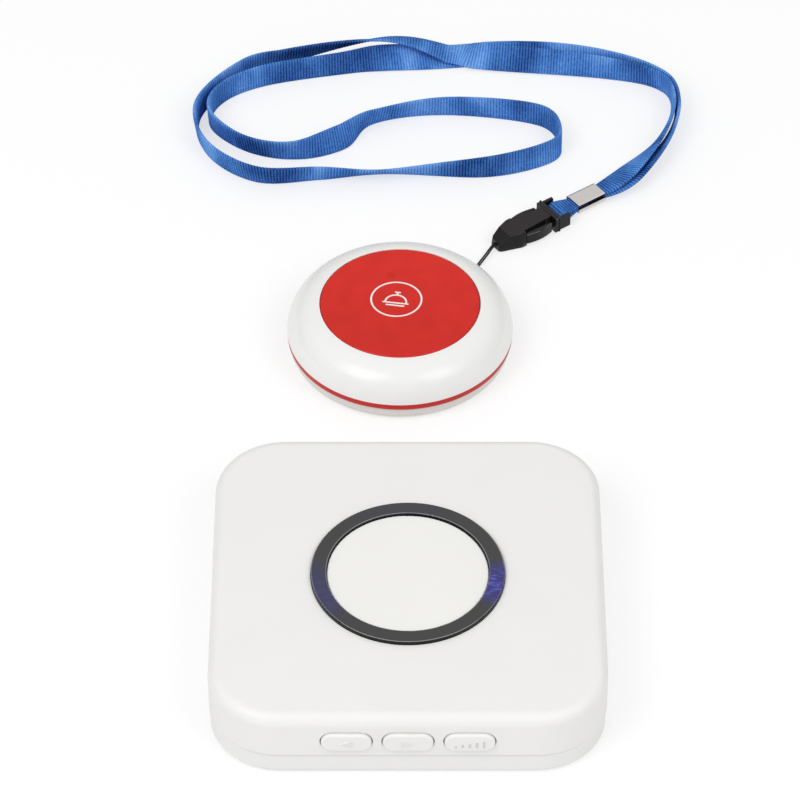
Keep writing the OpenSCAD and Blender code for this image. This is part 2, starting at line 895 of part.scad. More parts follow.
module speaker_frame() {
    r = speaker_d / 2;
    back = speaker_h - magnet_h;
    color("gray")
    at_receiver()
    translate([0, speaker_y, case_floor])
        difference() {
            union() {
                cylinder(r = r, h = speaker_rim_h);
                translate([0, 0, speaker_rim_h])
                    cylinder(r1 = r, r2 = magnet_d / 2 + 0.5, h = back - speaker_rim_h);
                translate([0, 0, back])
                    cylinder(d = magnet_d, h = magnet_h);
            }
            translate([0, 0, -eps])
                cylinder(r = r - speaker_rim, h = speaker_rim_h + eps);
            translate([0, 0, speaker_rim_h])
                cylinder(r1 = r - speaker_rim, r2 = magnet_d / 2 - 1, h = back - speaker_rim_h - 0.6);
        }
}

module speaker_cone() {
    r = speaker_d / 2 - speaker_rim - seat_clear;
    depth = speaker_h - magnet_h - speaker_rim_h - 1.6;
    sheet = 0.4;
    color("darkslategray")
    at_receiver()
    translate([0, speaker_y, case_floor + speaker_rim_h - sheet])
        rotate_extrude()
            polygon([
                [0, depth], [r * 0.35, depth], [r - 1.2, 0], [r, 0],
                [r, sheet], [r - 1, sheet], [r * 0.35 + 0.2, depth + sheet], [0, depth + sheet]
            ]);
}

// Cells lie along X and point alternately left and right
module battery_cells() {
    color("steelblue")
    at_receiver()
    for (i = [0 : cell_count - 1])
        translate([(bay_left + bay_right) / 2, cell_ys[i], cell_z])
            mirror([i % 2, 0, 0])
                translate([(bay_right - bay_left) / 2 - plate_t, 0, 0])
                    rotate([0, -90, 0]) {
                        cylinder(d = cell_nub_d, h = cell_nub_l + eps);
                        translate([0, 0, cell_nub_l])
                            cylinder(d = cell_d, h = cell_l - cell_nub_l);
                    }
}

module battery_plates() {
    color("silver")
    at_receiver()
    for (y = cell_ys)
        for (x = [bay_left, bay_right - plate_t])
            translate([x, y - plate_w / 2, cell_z - plate_w / 2])
                cube([plate_t, plate_w, plate_w]);
}

module battery_spring() {
    steps = spring_turns * 8;
    lead = spring_wire_d / 2;
    path = [
        for (i = [0 : steps])
            let (t = i / steps, a = 360 * spring_turns * t)
            let (r = spring_base_r + (spring_tip_r - spring_base_r) * t)
            [lead + t * (spring_l - 2 * lead), r * cos(a), r * sin(a)]
    ];
    gaps = [for (i = [0 : steps - 5], j = [i + 5 : steps]) norm(path[i] - path[j]) - spring_wire_d];
    echo(spring_gap = min(gaps));
    tube(path, spring_wire_d, 6);
}

module battery_springs() {
    color("silver")
    at_receiver()
    for (i = [0 : cell_count - 1])
        translate([(bay_left + bay_right) / 2, cell_ys[i], cell_z])
            mirror([i % 2, 0, 0])
                translate([-(bay_right - bay_left) / 2 + plate_t, 0, 0])
                    battery_spring();
}

module battery_door() {
    grip_pitch = 1.8;
    color("whitesmoke")
    at_receiver()
    difference() {
        intersection() {
            door_form(0);
            lower_form();
        }
        for (i = [0 : 4])
            translate([bay_right - 1 - i * grip_pitch, -door_half / 2, foot_h - eps])
                cube([0.8, door_half, 0.4 + eps]);
    }
}

module case_screws() {
    color("silver")
    at_receiver()
    for (p = boss_places)
        translate([p[0], p[1], screw_seat_z])
            screw(screw_d, screw_l, screw_head_d, screw_head_h);
}

module rubber_feet() {
    color("dimgray")
    at_receiver()
    for (p = foot_places)
        translate([p[0], p[1], 0])
            rotate_extrude()
                half_section_flat(foot_d / 2, foot_h + foot_sink, 0.3);
}

// Pendant

module at_pendant() {
    translate([pendant_at[0], pendant_at[1], 0])
        children();
}

// Quarter round between the band and the top, as a half section
module shell_section(r, top) {
    translate([shell_centre_r, band_top])
        intersection() {
            circle(r);
            square(r);
        }
    translate([0, band_top])
        square([shell_centre_r, top - band_top]);
}

module pendant_shell() {
    color("white")
    at_pendant()
        difference() {
            union() {
                rotate_extrude()
                    difference() {
                        shell_section(shell_r, pendant_h);
                        shell_section(shell_inner_r, pendant_h - pendant_wall);
                        square([call_open_r, pendant_h + eps]);
                    }
                intersection() {
                    for (a = pendant_screw_angles)
                        rotate(a)
                            translate([pendant_screw_r, 0, band_top])
                                cylinder(d = shell_boss_d, h = shell_boss_top - band_top);
                    rotate_extrude()
                        shell_section(shell_r - pendant_wall / 2, pendant_h - pendant_wall / 2);
                }
            }
            for (a = pendant_screw_angles)
                rotate(a)
                    translate([pendant_screw_r, 0, band_top - eps])
                        cylinder(
                            r = pendant_screw_d / 2 + screw_clear,
                            h = pendant_screw_sink + pendant_screw_l - band_top + eps + 0.2
                        );
        }
}

module call_button() {
    color("red")
    at_pendant() {
        difference() {
            translate([0, 0, call_flange_z])
                rotate_extrude()
                    half_section_domed(call_r, call_top - call_flange_z, call_edge_r);
            translate([0, 0, call_flange_z - eps])
                cylinder(r = call_r - call_wall, h = call_top - call_plate_t - call_flange_z + eps);
        }
        translate([0, 0, call_flange_z])
            difference() {
                cylinder(r = call_flange_r, h = call_flange_t);
                translate([0, 0, -eps])
                    cylinder(r = call_r - call_wall, h = call_flange_t + 2 * eps);
            }
        translate([0, 0, call_plunger_z])
            cylinder(r = call_plunger_r, h = call_top - call_plate_t / 2 - call_plunger_z);
    }
}

module seam_ring() {
    color("firebrick")
    at_pendant()
        translate([0, 0, base_h])
            difference() {
                cylinder(r = pendant_r - 0.1, h = band_h);
                translate([0, 0, -eps])
                    cylinder(r = pendant_r - pendant_wall - 0.2, h = band_h + 2 * eps);
            }
}

module base_form() {
    rotate_extrude()
        half_section_flat(base_r, base_h, base_edge_r);
}

module pendant_base() {
    color("gainsboro")
    at_pendant()
        difference() {
            union() {
                difference() {
                    base_form();
                    translate([0, 0, base_floor])
                        cylinder(r = base_r - base_wall, h = base_h);
                }
                translate([0, 0, base_floor - eps])
                    difference() {
                        cylinder(r = pendant_board_r, h = pendant_board_z - base_floor + eps);
                        cylinder(r = pendant_board_r - support_w, h = pendant_board_z);
                    }
                for (a = pendant_screw_angles)
                    rotate(a)
                        translate([pendant_screw_r, 0, base_floor - eps])
                            cylinder(d = pendant_boss_d, h = band_top - base_floor + eps);
                intersection() {
                    rotate(strap_angle)
                        translate([notch_block_r, -notch_block_w / 2, 0])
                            cube([base_r - notch_block_r, notch_block_w, base_h]);
                    base_form();
                }
            }
            rotate(strap_angle) {
                translate([notch_inner_r, -notch_w / 2, notch_z])
                    cube([pendant_r - notch_inner_r + eps, notch_w, notch_h]);
                translate([post_r, 0, notch_z - post_sink])
                    cylinder(r = post_d / 2 + pin_clear, h = notch_h + 2 * post_sink);
            }
            for (a = pendant_screw_angles)
                rotate(a)
                    translate([pendant_screw_r, 0, -eps]) {
                        cylinder(r = pendant_screw_d / 2 + screw_clear, h = band_top + 2 * eps);
                        cylinder(d = pendant_screw_head_d + 0.4, h = pendant_screw_sink + eps);
                    }
        }
}

module pendant_board() {
    color("darkgreen")
    at_pendant()
        translate([0, 0, pendant_board_z])
            cylinder(r = pendant_board_r, h = pendant_board_t);
}

module call_switch() {
    color("black")
    at_pendant()
        translate([0, 0, pendant_board_top]) {
            translate([-3, -3, 0])
                cube([6, 6, call_switch_h]);
            cylinder(r = 1.75, h = call_switch_h + call_actuator_h);
        }
}

module indicator_led() {
    color("lightyellow")
    at_pendant()
        translate([led_place[0], led_place[1], pendant_board_top]) {
            cylinder(r = led_r, h = led_body_h);
            translate([0, 0, led_body_h])
                sphere(r = led_r);
        }
}

module coin_cell() {
    color("silver")
    at_pendant()
        translate([0, 0, base_floor])
            rotate_extrude()
                half_section_domed(coin_r, coin_t, 0.4);
}

module cell_clip() {
    reach = coin_r + seat_clear;
    color("silver")
    at_pendant() {
        translate([-reach - clip_leg_t, -clip_w / 2, base_floor + coin_t])
            cube([2 * (reach + clip_leg_t), clip_w, clip_t]);
        for (side = [0, 1])
            mirror([side, 0, 0])
                translate([reach, -clip_w / 2, base_floor + coin_t / 3])
                    cube([clip_leg_t, clip_w, coin_t * 2 / 3 + clip_t]);
    }
}

module pendant_screws() {
    color("silver")
    at_pendant()
        for (a = pendant_screw_angles)
            rotate(a)
                translate([pendant_screw_r, 0, pendant_screw_sink])
                    screw(pendant_screw_d, pendant_screw_l, pendant_screw_head_d, pendant_screw_head_h);
}

module strap_post() {
    color("silver")
    at_pendant()
        rotate(strap_angle)
            translate([post_r, 0, notch_z - post_sink])
                cylinder(d = post_d, h = notch_h + 2 * post_sink);
}

// Lanyard

module at_strap() {
    translate([post_at[0], post_at[1], 0])
        children();
}

module at_buckle() {
    at_strap()
        translate([buckle_at[0], buckle_at[1], 0])
            rotate(buckle_angle)
                children();
}

module strap_cord() {
    spans = len(cord_route) - 1;
    color("black")
    at_strap()
        tube(
            [for (i = [0 : spans * cord_rings_per_span]) curve(cord_route, i / cord_rings_per_span)],
            cord_d,
            8
        );
}

// Plan of the nose's tapered tip, up to its shoulders, drawn in at the sides
module tip_plan(inset) {
    side = [
        [0, nose_tip_w / 2 - nose_corner - inset], [nose_corner, nose_tip_w / 2 - inset],
        [nose_taper_l, nose_w / 2 - arm_edge - inset], [nose_shoulder_l, nose_w / 2 - arm_edge - inset]
    ];
    other_side = [for (i = [len(side) - 1 : -1 : 0]) [side[i][0], -side[i][1]]];
    polygon(concat(side, other_side));
}

// Tip with sides that lean in, then a core between the two spring arms
module nose_form() {
    hull() {
        linear_extrude(nose_foot_h)
            tip_plan(0);
        linear_extrude(nose_h)
            tip_plan(nose_draft);
    }
    linear_extrude(nose_h)
        polygon([
            [nose_taper_l, -core_root_w / 2], [nose_l, -core_end_w / 2],
            [nose_l, core_end_w / 2], [nose_taper_l, core_root_w / 2]
        ]);
}

module buckle_nose() {
    slope = atan(nose_slope_h / nose_slope_l);
    color("#222222")
    at_buckle()
        difference() {
            translate([0, 0, buckle_lift])
                nose_form();
            translate([0, -nose_w, buckle_lift + nose_h - nose_slope_h])
                rotate([0, -slope, 0])
                    translate([-nose_l, 0, 0])
                        cube([2 * nose_l, 2 * nose_w, nose_h]);
            translate([-eps, 0, cord_hole_z])
                rotate([0, 90, 0])
                    cylinder(d = cord_hole_d, h = cord_hole_l + eps);
            translate([
                nose_l - prong_l - slide_clear,
                -prong_w / 2 - slide_clear,
                prong_z - prong_h / 2 - slide_clear
            ])
                cube([prong_l + slide_clear + eps, prong_w + 2 * slide_clear, prong_h + 2 * slide_clear]);
        }
}

// Spring arm on the +Y side of the nose, with its root at the shoulder and its free end at the collar.
// Its outer side is hollow at the root and swells towards the middle for the finger.
module arm_plan() {
    outer = [
        for (s = [1 : -0.1 : 0])
            [
                arm_root_x + s * (arm_end_x - arm_root_x),
                nose_w / 2 - arm_dip + (arm_dip + arm_bulge) * sin(180 * s)
            ]
    ];
    polygon(concat(outer, [[arm_root_x, arm_root_y], [arm_end_x, arm_end_y]]));
}

module buckle_arm(side) {
    color("#222222")
    at_buckle()
        mirror([0, side, 0])
            translate([0, 0, buckle_lift + arm_edge])
                linear_extrude(nose_h - arm_edge - arm_drop)
                    arm_plan();
}

module buckle_arm_rear() {
    buckle_arm(0);
}

module buckle_arm_front() {
    buckle_arm(1);
}

module buckle_socket() {
    color("#222222")
    at_buckle() {
        translate([collar_x, -collar_w / 2, 0])
            cube([collar_t, collar_w, collar_h]);
        translate([frame_x - collar_rim_t, -collar_w / 2 - collar_rim, 0])
            cube([collar_rim_t, collar_w + 2 * collar_rim, collar_h + collar_rim]);
        translate([nose_l - prong_l, -prong_w / 2, prong_z - prong_h / 2])
            cube([prong_l + collar_t, prong_w, prong_h]);
        for (side = [0, 1])
            mirror([0, side, 0])
                translate([frame_x - 0.2, frame_inner_w / 2, frame_z])
                    cube([frame_end_x - frame_x + 0.2, frame_wall, frame_h]);
        translate([bar_x, frame_inner_w / 2 + frame_wall / 2, bar_z])
            rotate([90, 0, 0])
                cylinder(r = bar_r, h = frame_inner_w + frame_wall);
    }
}

// Folded end of the ribbon, from the crimp round the bar and back, drawn in towards the crimp
module buckle_loop() {
    neck_x = crimp_x - 0.2;
    outer_r = loop_inner_r + ribbon_t;
    layer_top = loop_gap + ribbon_t;
    outer_turn = [for (a = [90 : 15 : 270]) [bar_x + outer_r * cos(a), outer_r * sin(a)]];
    inner_turn = [for (a = [270 : -15 : 90]) [bar_x + loop_inner_r * cos(a), loop_inner_r * sin(a)]];
    lower_end = [
        [neck_x, -layer_top], [loop_end_x, -layer_top], [loop_end_x, -loop_gap], [neck_x, -loop_gap]
    ];
    upper_end = [
        [neck_x, loop_gap], [loop_end_x, loop_gap], [loop_end_x, layer_top], [neck_x, layer_top]
    ];
    side = [
        [bar_x - 2 * outer_r, loop_w / 2], [bar_x + outer_r, loop_w / 2],
        [neck_x, gathered_w / 2], [loop_end_x + eps, gathered_w / 2]
    ];
    other_side = [for (i = [len(side) - 1 : -1 : 0]) [side[i][0], -side[i][1]]];
    color("royalblue")
    at_buckle()
        intersection() {
            translate([0, loop_w / 2, bar_z])
                rotate([90, 0, 0])
                    linear_extrude(loop_w)
                        polygon(concat(outer_turn, lower_end, inner_turn, upper_end));
            linear_extrude(2 * bar_z)
                polygon(concat(side, other_side));
        }
}

// Outline of a flat tube with round corners
function tube_outline(w, h, r) = [
    for (corner = [[1, 1, 0], [-1, 1, 90], [-1, -1, 180], [1, -1, 270]])
        for (a = [0 : 15 : 90])
            [
                corner[0] * (w / 2 - r) + r * cos(corner[2] + a),
                corner[1] * (h / 2 - r) + r * sin(corner[2] + a)
            ]
];

// Sheet folded round the ribbon's ends, its long edges meeting at the slit
module ribbon_crimp() {
    color("silver")
    at_buckle()
        translate([crimp_x, 0, bar_z])
            rotate([90, 0, 90])
                linear_extrude(crimp_l)
                    difference() {
                        polygon(tube_outline(
                            crimp_bore_w + 2 * crimp_t, crimp_inner_h + 2 * crimp_t, crimp_corner_r
                        ));
                        polygon(tube_outline(crimp_bore_w, crimp_inner_h, crimp_corner_r - crimp_t));
                        translate([-crimp_bore_w / 2 - 2 * crimp_t, crimp_inner_h / 2 - crimp_slit])
                            square([3 * crimp_t, crimp_slit]);
                    }
}

// One ring of the ribbon at the place u of its route
function ribbon_ring(u) =
    let (p = curve(ribbon_route, u), step = 0.02)
    let (d = curve(ribbon_route, u + step) - curve(ribbon_route, u - step))
    let (along = unit([d[0], d[1], 0]), left = [-along[1], along[0], 0], lean = p[2])
    let (up = left * sin(lean) + [0, 0, cos(lean)], face = cross(along, up))
    let (hw = p[4] / 2, ht = ribbon_t / 2, rest = hw * abs(cos(lean)) + ht * abs(sin(lean)))
    let (centre = [p[0], p[1], rest + max(0, p[3])])
    [for (c = [
        [hw, ht / 2], [hw - ht, ht], [ht - hw, ht], [-hw, ht / 2],
        [-hw, -ht / 2], [ht - hw, -ht], [hw - ht, -ht], [hw, -ht / 2]
    ]) centre + c[0] * up + c[1] * face];

module lanyard_ribbon() {
    spans = len(ribbon_route) - 1;
    color("royalblue")
    at_strap()
        skin([for (i = [0 : spans * ribbon_rings_per_span]) ribbon_ring(i / ribbon_rings_per_span)]);
}

top_cover();
back_cover();
light_ring();
centre_disc();
led_board();
leds();
led_screws();
button_previous();
button_next();
button_volume();
main_board();
side_switches();
board_screws();
antenna();
speaker_frame();
speaker_cone();
battery_cells();
battery_plates();
battery_springs();
battery_door();
case_screws();
rubber_feet();
pendant_shell();
call_button();
seam_ring();
pendant_base();
pendant_board();
call_switch();
indicator_led();
coin_cell();
cell_clip();
pendant_screws();
strap_post();
strap_cord();
buckle_nose();
buckle_arm_front();
buckle_arm_rear();
buckle_socket();
buckle_loop();
ribbon_crimp();
lanyard_ribbon();
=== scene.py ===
"""Looks of the caregiver pager set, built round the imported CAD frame."""

import logging
import math
from dataclasses import dataclass
from enum import Enum
from functools import reduce
from typing import Dict, Iterable, List, Optional, Sequence, Tuple, Union

import bmesh
import bpy
from mathutils import Matrix, Vector


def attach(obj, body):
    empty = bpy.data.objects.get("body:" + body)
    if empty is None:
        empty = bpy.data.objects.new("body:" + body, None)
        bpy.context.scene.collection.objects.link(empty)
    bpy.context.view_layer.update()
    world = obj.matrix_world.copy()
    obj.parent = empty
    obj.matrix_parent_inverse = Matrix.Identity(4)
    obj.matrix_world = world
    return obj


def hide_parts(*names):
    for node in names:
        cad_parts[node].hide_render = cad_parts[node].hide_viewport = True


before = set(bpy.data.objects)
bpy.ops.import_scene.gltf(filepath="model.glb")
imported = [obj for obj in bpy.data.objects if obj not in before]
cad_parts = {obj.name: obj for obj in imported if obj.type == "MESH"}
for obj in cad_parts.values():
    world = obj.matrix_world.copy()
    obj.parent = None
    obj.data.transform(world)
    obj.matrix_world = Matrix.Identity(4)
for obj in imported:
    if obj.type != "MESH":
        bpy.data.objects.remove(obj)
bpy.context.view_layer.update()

MM = 0.001
SHARP_DEG = 35.0
LOG = logging.getLogger("pager")

Colour = Tuple[float, float, float]
Place = Tuple[float, float, float]
Point = Tuple[float, float]
Span = Tuple[float, float]
Ring = List[bmesh.types.BMVert]
Socket = bpy.types.NodeSocket
Pattern = Tuple[Socket, Socket, Socket]

# A noise texture keeps to the first range for the most part, and a share runs along one of the others.
NOISE: Span = (0.3, 0.7)
RISING: Span = (0.0, 1.0)
FALLING: Span = (1.0, 0.0)


def linear(red: int, green: int, blue: int) -> Colour:
    """Turn a display colour into the linear colour that shaders use.

    Args:
        red: red part, 0 to 255.
        green: green part, 0 to 255.
        blue: blue part, 0 to 255.

    Returns:
        The linear colour, each part from 0 to 1.
    """
    shares = (part / 255 for part in (red, green, blue))
    return tuple(
        share / 12.92 if share <= 0.04045 else ((share + 0.055) / 1.055) ** 2.4 for share in shares
    )


def scaled(colour: Colour, factor: float) -> Colour:
    """Brighten or darken a linear colour, and hold it between 0 and 1."""
    return tuple(min(1.0, max(0.0, part * factor)) for part in colour)


def portion(value: float, start: float, stop: float) -> float:
    """Say how far a value lies from start to stop, which differ, held between 0 and 1."""
    return min(1.0, max(0.0, (value - start) / (stop - start)))


class Body(Enum):
    """CAD bodies that the extra pieces ride on."""

    PREVIOUS = "previous_button"
    NEXT = "next_button"
    VOLUME = "volume_button"
    PENDANT = "pendant"
    CALL = "call_disc"


class Lines(Enum):
    """Axis of a piece's own frame that the drawing lines of its metal follow."""

    ALONG_X = "X"
    ALONG_Y = "Y"
    ALONG_Z = "Z"


class Ramp(Enum):
    """How a value runs from the start of its range to the end."""

    STRAIGHT = "LINEAR"
    SOFT = "SMOOTHSTEP"


class Step(Enum):
    """Steps of arithmetic in a node tree."""

    ADD = "ADD"
    SUBTRACT = "SUBTRACT"
    MULTIPLY = "MULTIPLY"
    DIVIDE = "DIVIDE"
    MAXIMUM = "MAXIMUM"
    ABSOLUTE = "ABSOLUTE"
    ROOT = "SQRT"
    SINE = "SINE"


class Graph:
    """Node tree in the making."""

    def __init__(self, tree: bpy.types.NodeTree) -> None:
        """Take the tree that is written."""
        self.tree = tree

    def node(self, kind: str, **settings: object) -> bpy.types.Node:
        """Add a node.

        Args:
            kind: Blender's name of the node type.
            settings: properties of the node, by name.

        Returns:
            The new node.
        """
        made = self.tree.nodes.new(kind)
        for key, value in settings.items():
            setattr(made, key, value)
        return made

    def join(self, start: Socket, end: Socket) -> None:
        """Link an output socket to an input socket."""
        self.tree.links.new(start, end)

    def place(self) -> Socket:
        """Give the coordinates of the piece's own frame, in metres."""
        return self.node("ShaderNodeTexCoord").outputs["Object"]

    def axes(self, source: Socket) -> Tuple[Socket, Socket, Socket]:
        """Split coordinates or a direction into X, Y and Z.

        Args:
            source: socket with the three parts.

        Returns:
            The sockets of the parts.
        """
        made = self.node("ShaderNodeSeparateXYZ")
        self.join(source, made.inputs["Vector"])
        return tuple(made.outputs)

    def mapped(self, source: Socket, scale: Place, turn_deg: float = 0.0) -> Socket:
        """Stretch coordinates and then turn them about Z.

        Args:
            source: coordinates to change.
            scale: what each of them is multiplied by.
            turn_deg: the turn, in degrees.

        Returns:
            The socket with the new coordinates.
        """
        made = self.node("ShaderNodeMapping")
        made.inputs["Scale"].default_value = scale
        made.inputs["Rotation"].default_value = (0.0, 0.0, math.radians(turn_deg))
        self.join(source, made.inputs["Vector"])
        return made.outputs["Vector"]

    def noise(self, source: Socket, scale: float, detail: float = 2.0) -> Socket:
        """Add a noise texture.

        Args:
            source: coordinates it is read at.
            scale: patches per unit of the coordinates.
            detail: number of finer layers.

        Returns:
            The socket with the noise, about 0 to 1.
        """
        made = self.node("ShaderNodeTexNoise")
        made.inputs["Scale"].default_value = scale
        made.inputs["Detail"].default_value = detail
        self.join(source, made.inputs["Vector"])
        return made.outputs["Fac"]

    def spread(
        self, value: Socket, start: Span, end: Span = RISING, ramp: Ramp = Ramp.STRAIGHT
    ) -> Socket:
        """Map one range of values onto another, and hold it there.

        Args:
            value: socket to map.
            start: lowest and highest value to read.
            end: what these become.
            ramp: how it runs from the one to the other.

        Returns:
            The mapped socket.
        """
        made = self.node("ShaderNodeMapRange", clamp=True, interpolation_type=ramp.value)
        for name, number in zip(("From Min", "From Max", "To Min", "To Max"), (*start, *end)):
            made.inputs[name].default_value = number
        self.join(value, made.inputs["Value"])
        return made.outputs["Result"]

    def maths(
        self, step: Step, first: Union[Socket, float], second: Union[Socket, float] = 0.0
    ) -> Socket:
        """Add one step of arithmetic.

        Args:
            step: the step.
            first: socket or number.
            second: socket or number, where the step takes two.

        Returns:
            The result's socket.
        """
        made = self.node("ShaderNodeMath", operation=step.value)
        for index, value in enumerate((first, second)):
            if isinstance(value, float):
                made.inputs[index].default_value = value
            else:
                self.join(value, made.inputs[index])
        return made.outputs["Value"]

    def plus(self, first: Socket, second: Union[Socket, float]) -> Socket:
        """Add two values."""
        return self.maths(Step.ADD, first, second)

    def times(self, first: Socket, second: Union[Socket, float]) -> Socket:
        """Multiply two values."""
        return self.maths(Step.MULTIPLY, first, second)

    def larger(self, first: Socket, second: Socket) -> Socket:
        """Give the larger of two values."""
        return self.maths(Step.MAXIMUM, first, second)

    def distance(self, x: Socket, y: Socket) -> Socket:
        """Give the distance of a place from the point where both its coordinates are 0."""
        return self.maths(Step.ROOT, self.plus(self.times(x, x), self.times(y, y)))

    def mix(
        self, share: Socket, first: Union[Socket, Colour], second: Union[Socket, Colour]
    ) -> Socket:
        """Mix two colours.

        Args:
            share: socket that says how much of the second colour there is.
            first: linear colour or socket.
            second: linear colour or socket.

        Returns:
            The mixed colour's socket.
        """
        made = self.node("ShaderNodeMix", data_type="RGBA")
        self.join(share, made.inputs["Factor"])
        for slot, value in (("A", first), ("B", second)):
            socket = next(s for s in made.inputs if s.name == slot and s.type == "RGBA")
            if isinstance(value, tuple):
                socket.default_value = (*value, 1.0)
            else:
                self.join(value, socket)
        return next(s for s in made.outputs if s.type == "RGBA")

    def tones(self, share: Socket, tint: Colour, dark: float, bright: float) -> Socket:
        """Run a colour from a dark tone of itself to a bright one, each given as a factor."""
        return self.mix(share, scaled(tint, dark), scaled(tint, bright))


class Surface(Graph):
    """Node material in the making, with one shader."""

    def __init__(self, name: str) -> None:
        """Start a material with its shader and output.

        Args:
            name: name of the material.
        """
        self.material = bpy.data.materials.new(name)
        self.material.use_nodes = True
        super().__init__(self.material.node_tree)
        self.tree.nodes.clear()
        self.shader = self.node("ShaderNodeBsdfPrincipled")
        self.output = self.node("ShaderNodeOutputMaterial")
        self.join(self.shader.outputs["BSDF"], self.output.inputs["Surface"])

    def set(self, **values: float) -> None:
        """Set plain values on the shader, by the socket's name with underscores for spaces."""
        for key, value in values.items():
            self.shader.inputs[key.replace("_", " ")].default_value = value

    def paint(self, tint: Socket) -> None:
        """Give the shader its colour."""
        self.join(tint, self.shader.inputs["Base Color"])

    def relief(self, height: Socket, depth: float, strength: float) -> None:
        """Turn a height into small bumps of the shader.

        Args:
            height: socket with the height, 0 to 1.
            depth: real depth of the bumps, in metres.
            strength: share of the effect.
        """
        made = self.node("ShaderNodeBump")
        made.inputs["Strength"].default_value = strength
        made.inputs["Distance"].default_value = depth
        self.join(height, made.inputs["Height"])
        self.join(made.outputs["Normal"], self.shader.inputs["Normal"])


@dataclass(frozen=True)
class Finish:
    """What every finish has: a colour, a gloss that swings with a grain, and a small relief."""

    name: str
    roughness: float = 0.4
    gloss_swing: float = 0.05
    reflection: float = 0.5
    metallic: float = 0.0
    grain_per_m: float = 3000.0
    relief_depth: float = 0.02 * MM
    relief_strength: float = 0.3

    def pattern(self, graph: Surface) -> Pattern:
        """Write what is this finish's own.

        Args:
            graph: the material that is written.

        Returns:
            The sockets of the colour, of the gloss's grain and of the relief's height.
        """
        raise NotImplementedError

    def build(self) -> bpy.types.Material:
        """Make the material.

        Returns:
            The new material.
        """
        graph = Surface(self.name)
        tint, grain, height = self.pattern(graph)
        gloss = (self.roughness - self.gloss_swing, self.roughness + self.gloss_swing)
        graph.paint(tint)
        graph.join(graph.spread(grain, NOISE, gloss), graph.shader.inputs["Roughness"])
        graph.set(Metallic=self.metallic, Specular_IOR_Level=self.reflection)
        graph.relief(height, self.relief_depth, self.relief_strength)
        return graph.material


@dataclass(frozen=True, kw_only=True)
class Moulding(Finish):
    """Moulded plastic or rubber with a fine grain. Painted seam shade can dim what lies above a height."""

    tint: Colour
    gloss_swing: float = 0.04
    grain_per_m: float = 4000.0
    relief_strength: float = 0.35
    unevenness: float = 0.007
    patches_per_m: float = 60.0
    # Painted shade of the seam between the covers: the tint is darkened above a height.
    seam_shade_z: float = 0.0
    seam_shade_tone: float = 1.0
    seam_shade_blur: float = 0.1 * MM

    def pattern(self, graph: Surface) -> Pattern:
        """Write a slightly uneven colour, and the painted seam shade if there is any.

        Args:
            graph: the material that is written.

        Returns:
            The sockets of colour, grain and height.
        """
        place = graph.place()
        patches = graph.spread(graph.noise(place, self.patches_per_m), NOISE)
        tint = graph.tones(patches, self.tint, 1 - self.unevenness, 1 + self.unevenness)
        # Painted shade of the seam: darker above the seam's height.
        if self.seam_shade_tone < 1:
            seam_shaded = graph.spread(graph.axes(place)[2], (self.seam_shade_z - self.seam_shade_blur, self.seam_shade_z))
            tint = graph.mix(seam_shaded, tint, scaled(self.tint, self.seam_shade_tone))
        grain = graph.noise(place, self.grain_per_m, detail=3.0)
        return tint, grain, grain


@dataclass(frozen=True, kw_only=True)
class SlopeLitBlack(Finish):
    """Black moulding with painted light: its top faces are painted paler than its walls, and its edges get
    a painted highlight.

    A slope is the upward part of a face's normal, which is 1 for a level face.
    """

    # Painted light: level faces take the paler top tint, walls the darker tint, edges a painted highlight.
    lit_top_tint: Colour
    wall_tint: Colour
    highlight_edge_tint: Colour
    roughness: float = 0.28
    reflection: float = 0.2
    grain_per_m: float = 3500.0
    relief_depth: float = 0.004 * MM
    rubs_per_m: float = 220.0
    rub_range: Span = (0.35, 0.65)
    rub_share: float = 0.15
    lit_top_slopes: Span = (0.84, 0.97)
    highlight_slopes_from: Span = (0.25, 0.4)
    highlight_slopes_to: Span = (0.72, 0.8)

    def pattern(self, graph: Surface) -> Pattern:
        """Write the colours by the slope of the faces: painted light on the tops and a painted highlight on
        the edges.

        Args:
            graph: the material that is written.

        Returns:
            The sockets of colour, grain and height.
        """
        place = graph.place()
        slope = graph.axes(graph.node("ShaderNodeNewGeometry").outputs["True Normal"])[2]
        # Painted light: faces are paler the more they face up.
        tint = graph.mix(graph.spread(slope, self.lit_top_slopes), self.wall_tint, self.lit_top_tint)
        rubs = graph.noise(place, self.rubs_per_m)
        tint = graph.mix(graph.spread(rubs, self.rub_range, (0.0, self.rub_share)), tint, self.lit_top_tint)
        # Painted highlight on the edges between tops and walls.
        edge = graph.times(
            graph.spread(slope, self.highlight_slopes_from), graph.spread(slope, self.highlight_slopes_to, FALLING)
        )
        grain = graph.noise(place, self.grain_per_m, detail=3.0)
        return graph.mix(edge, tint, self.highlight_edge_tint), grain, grain


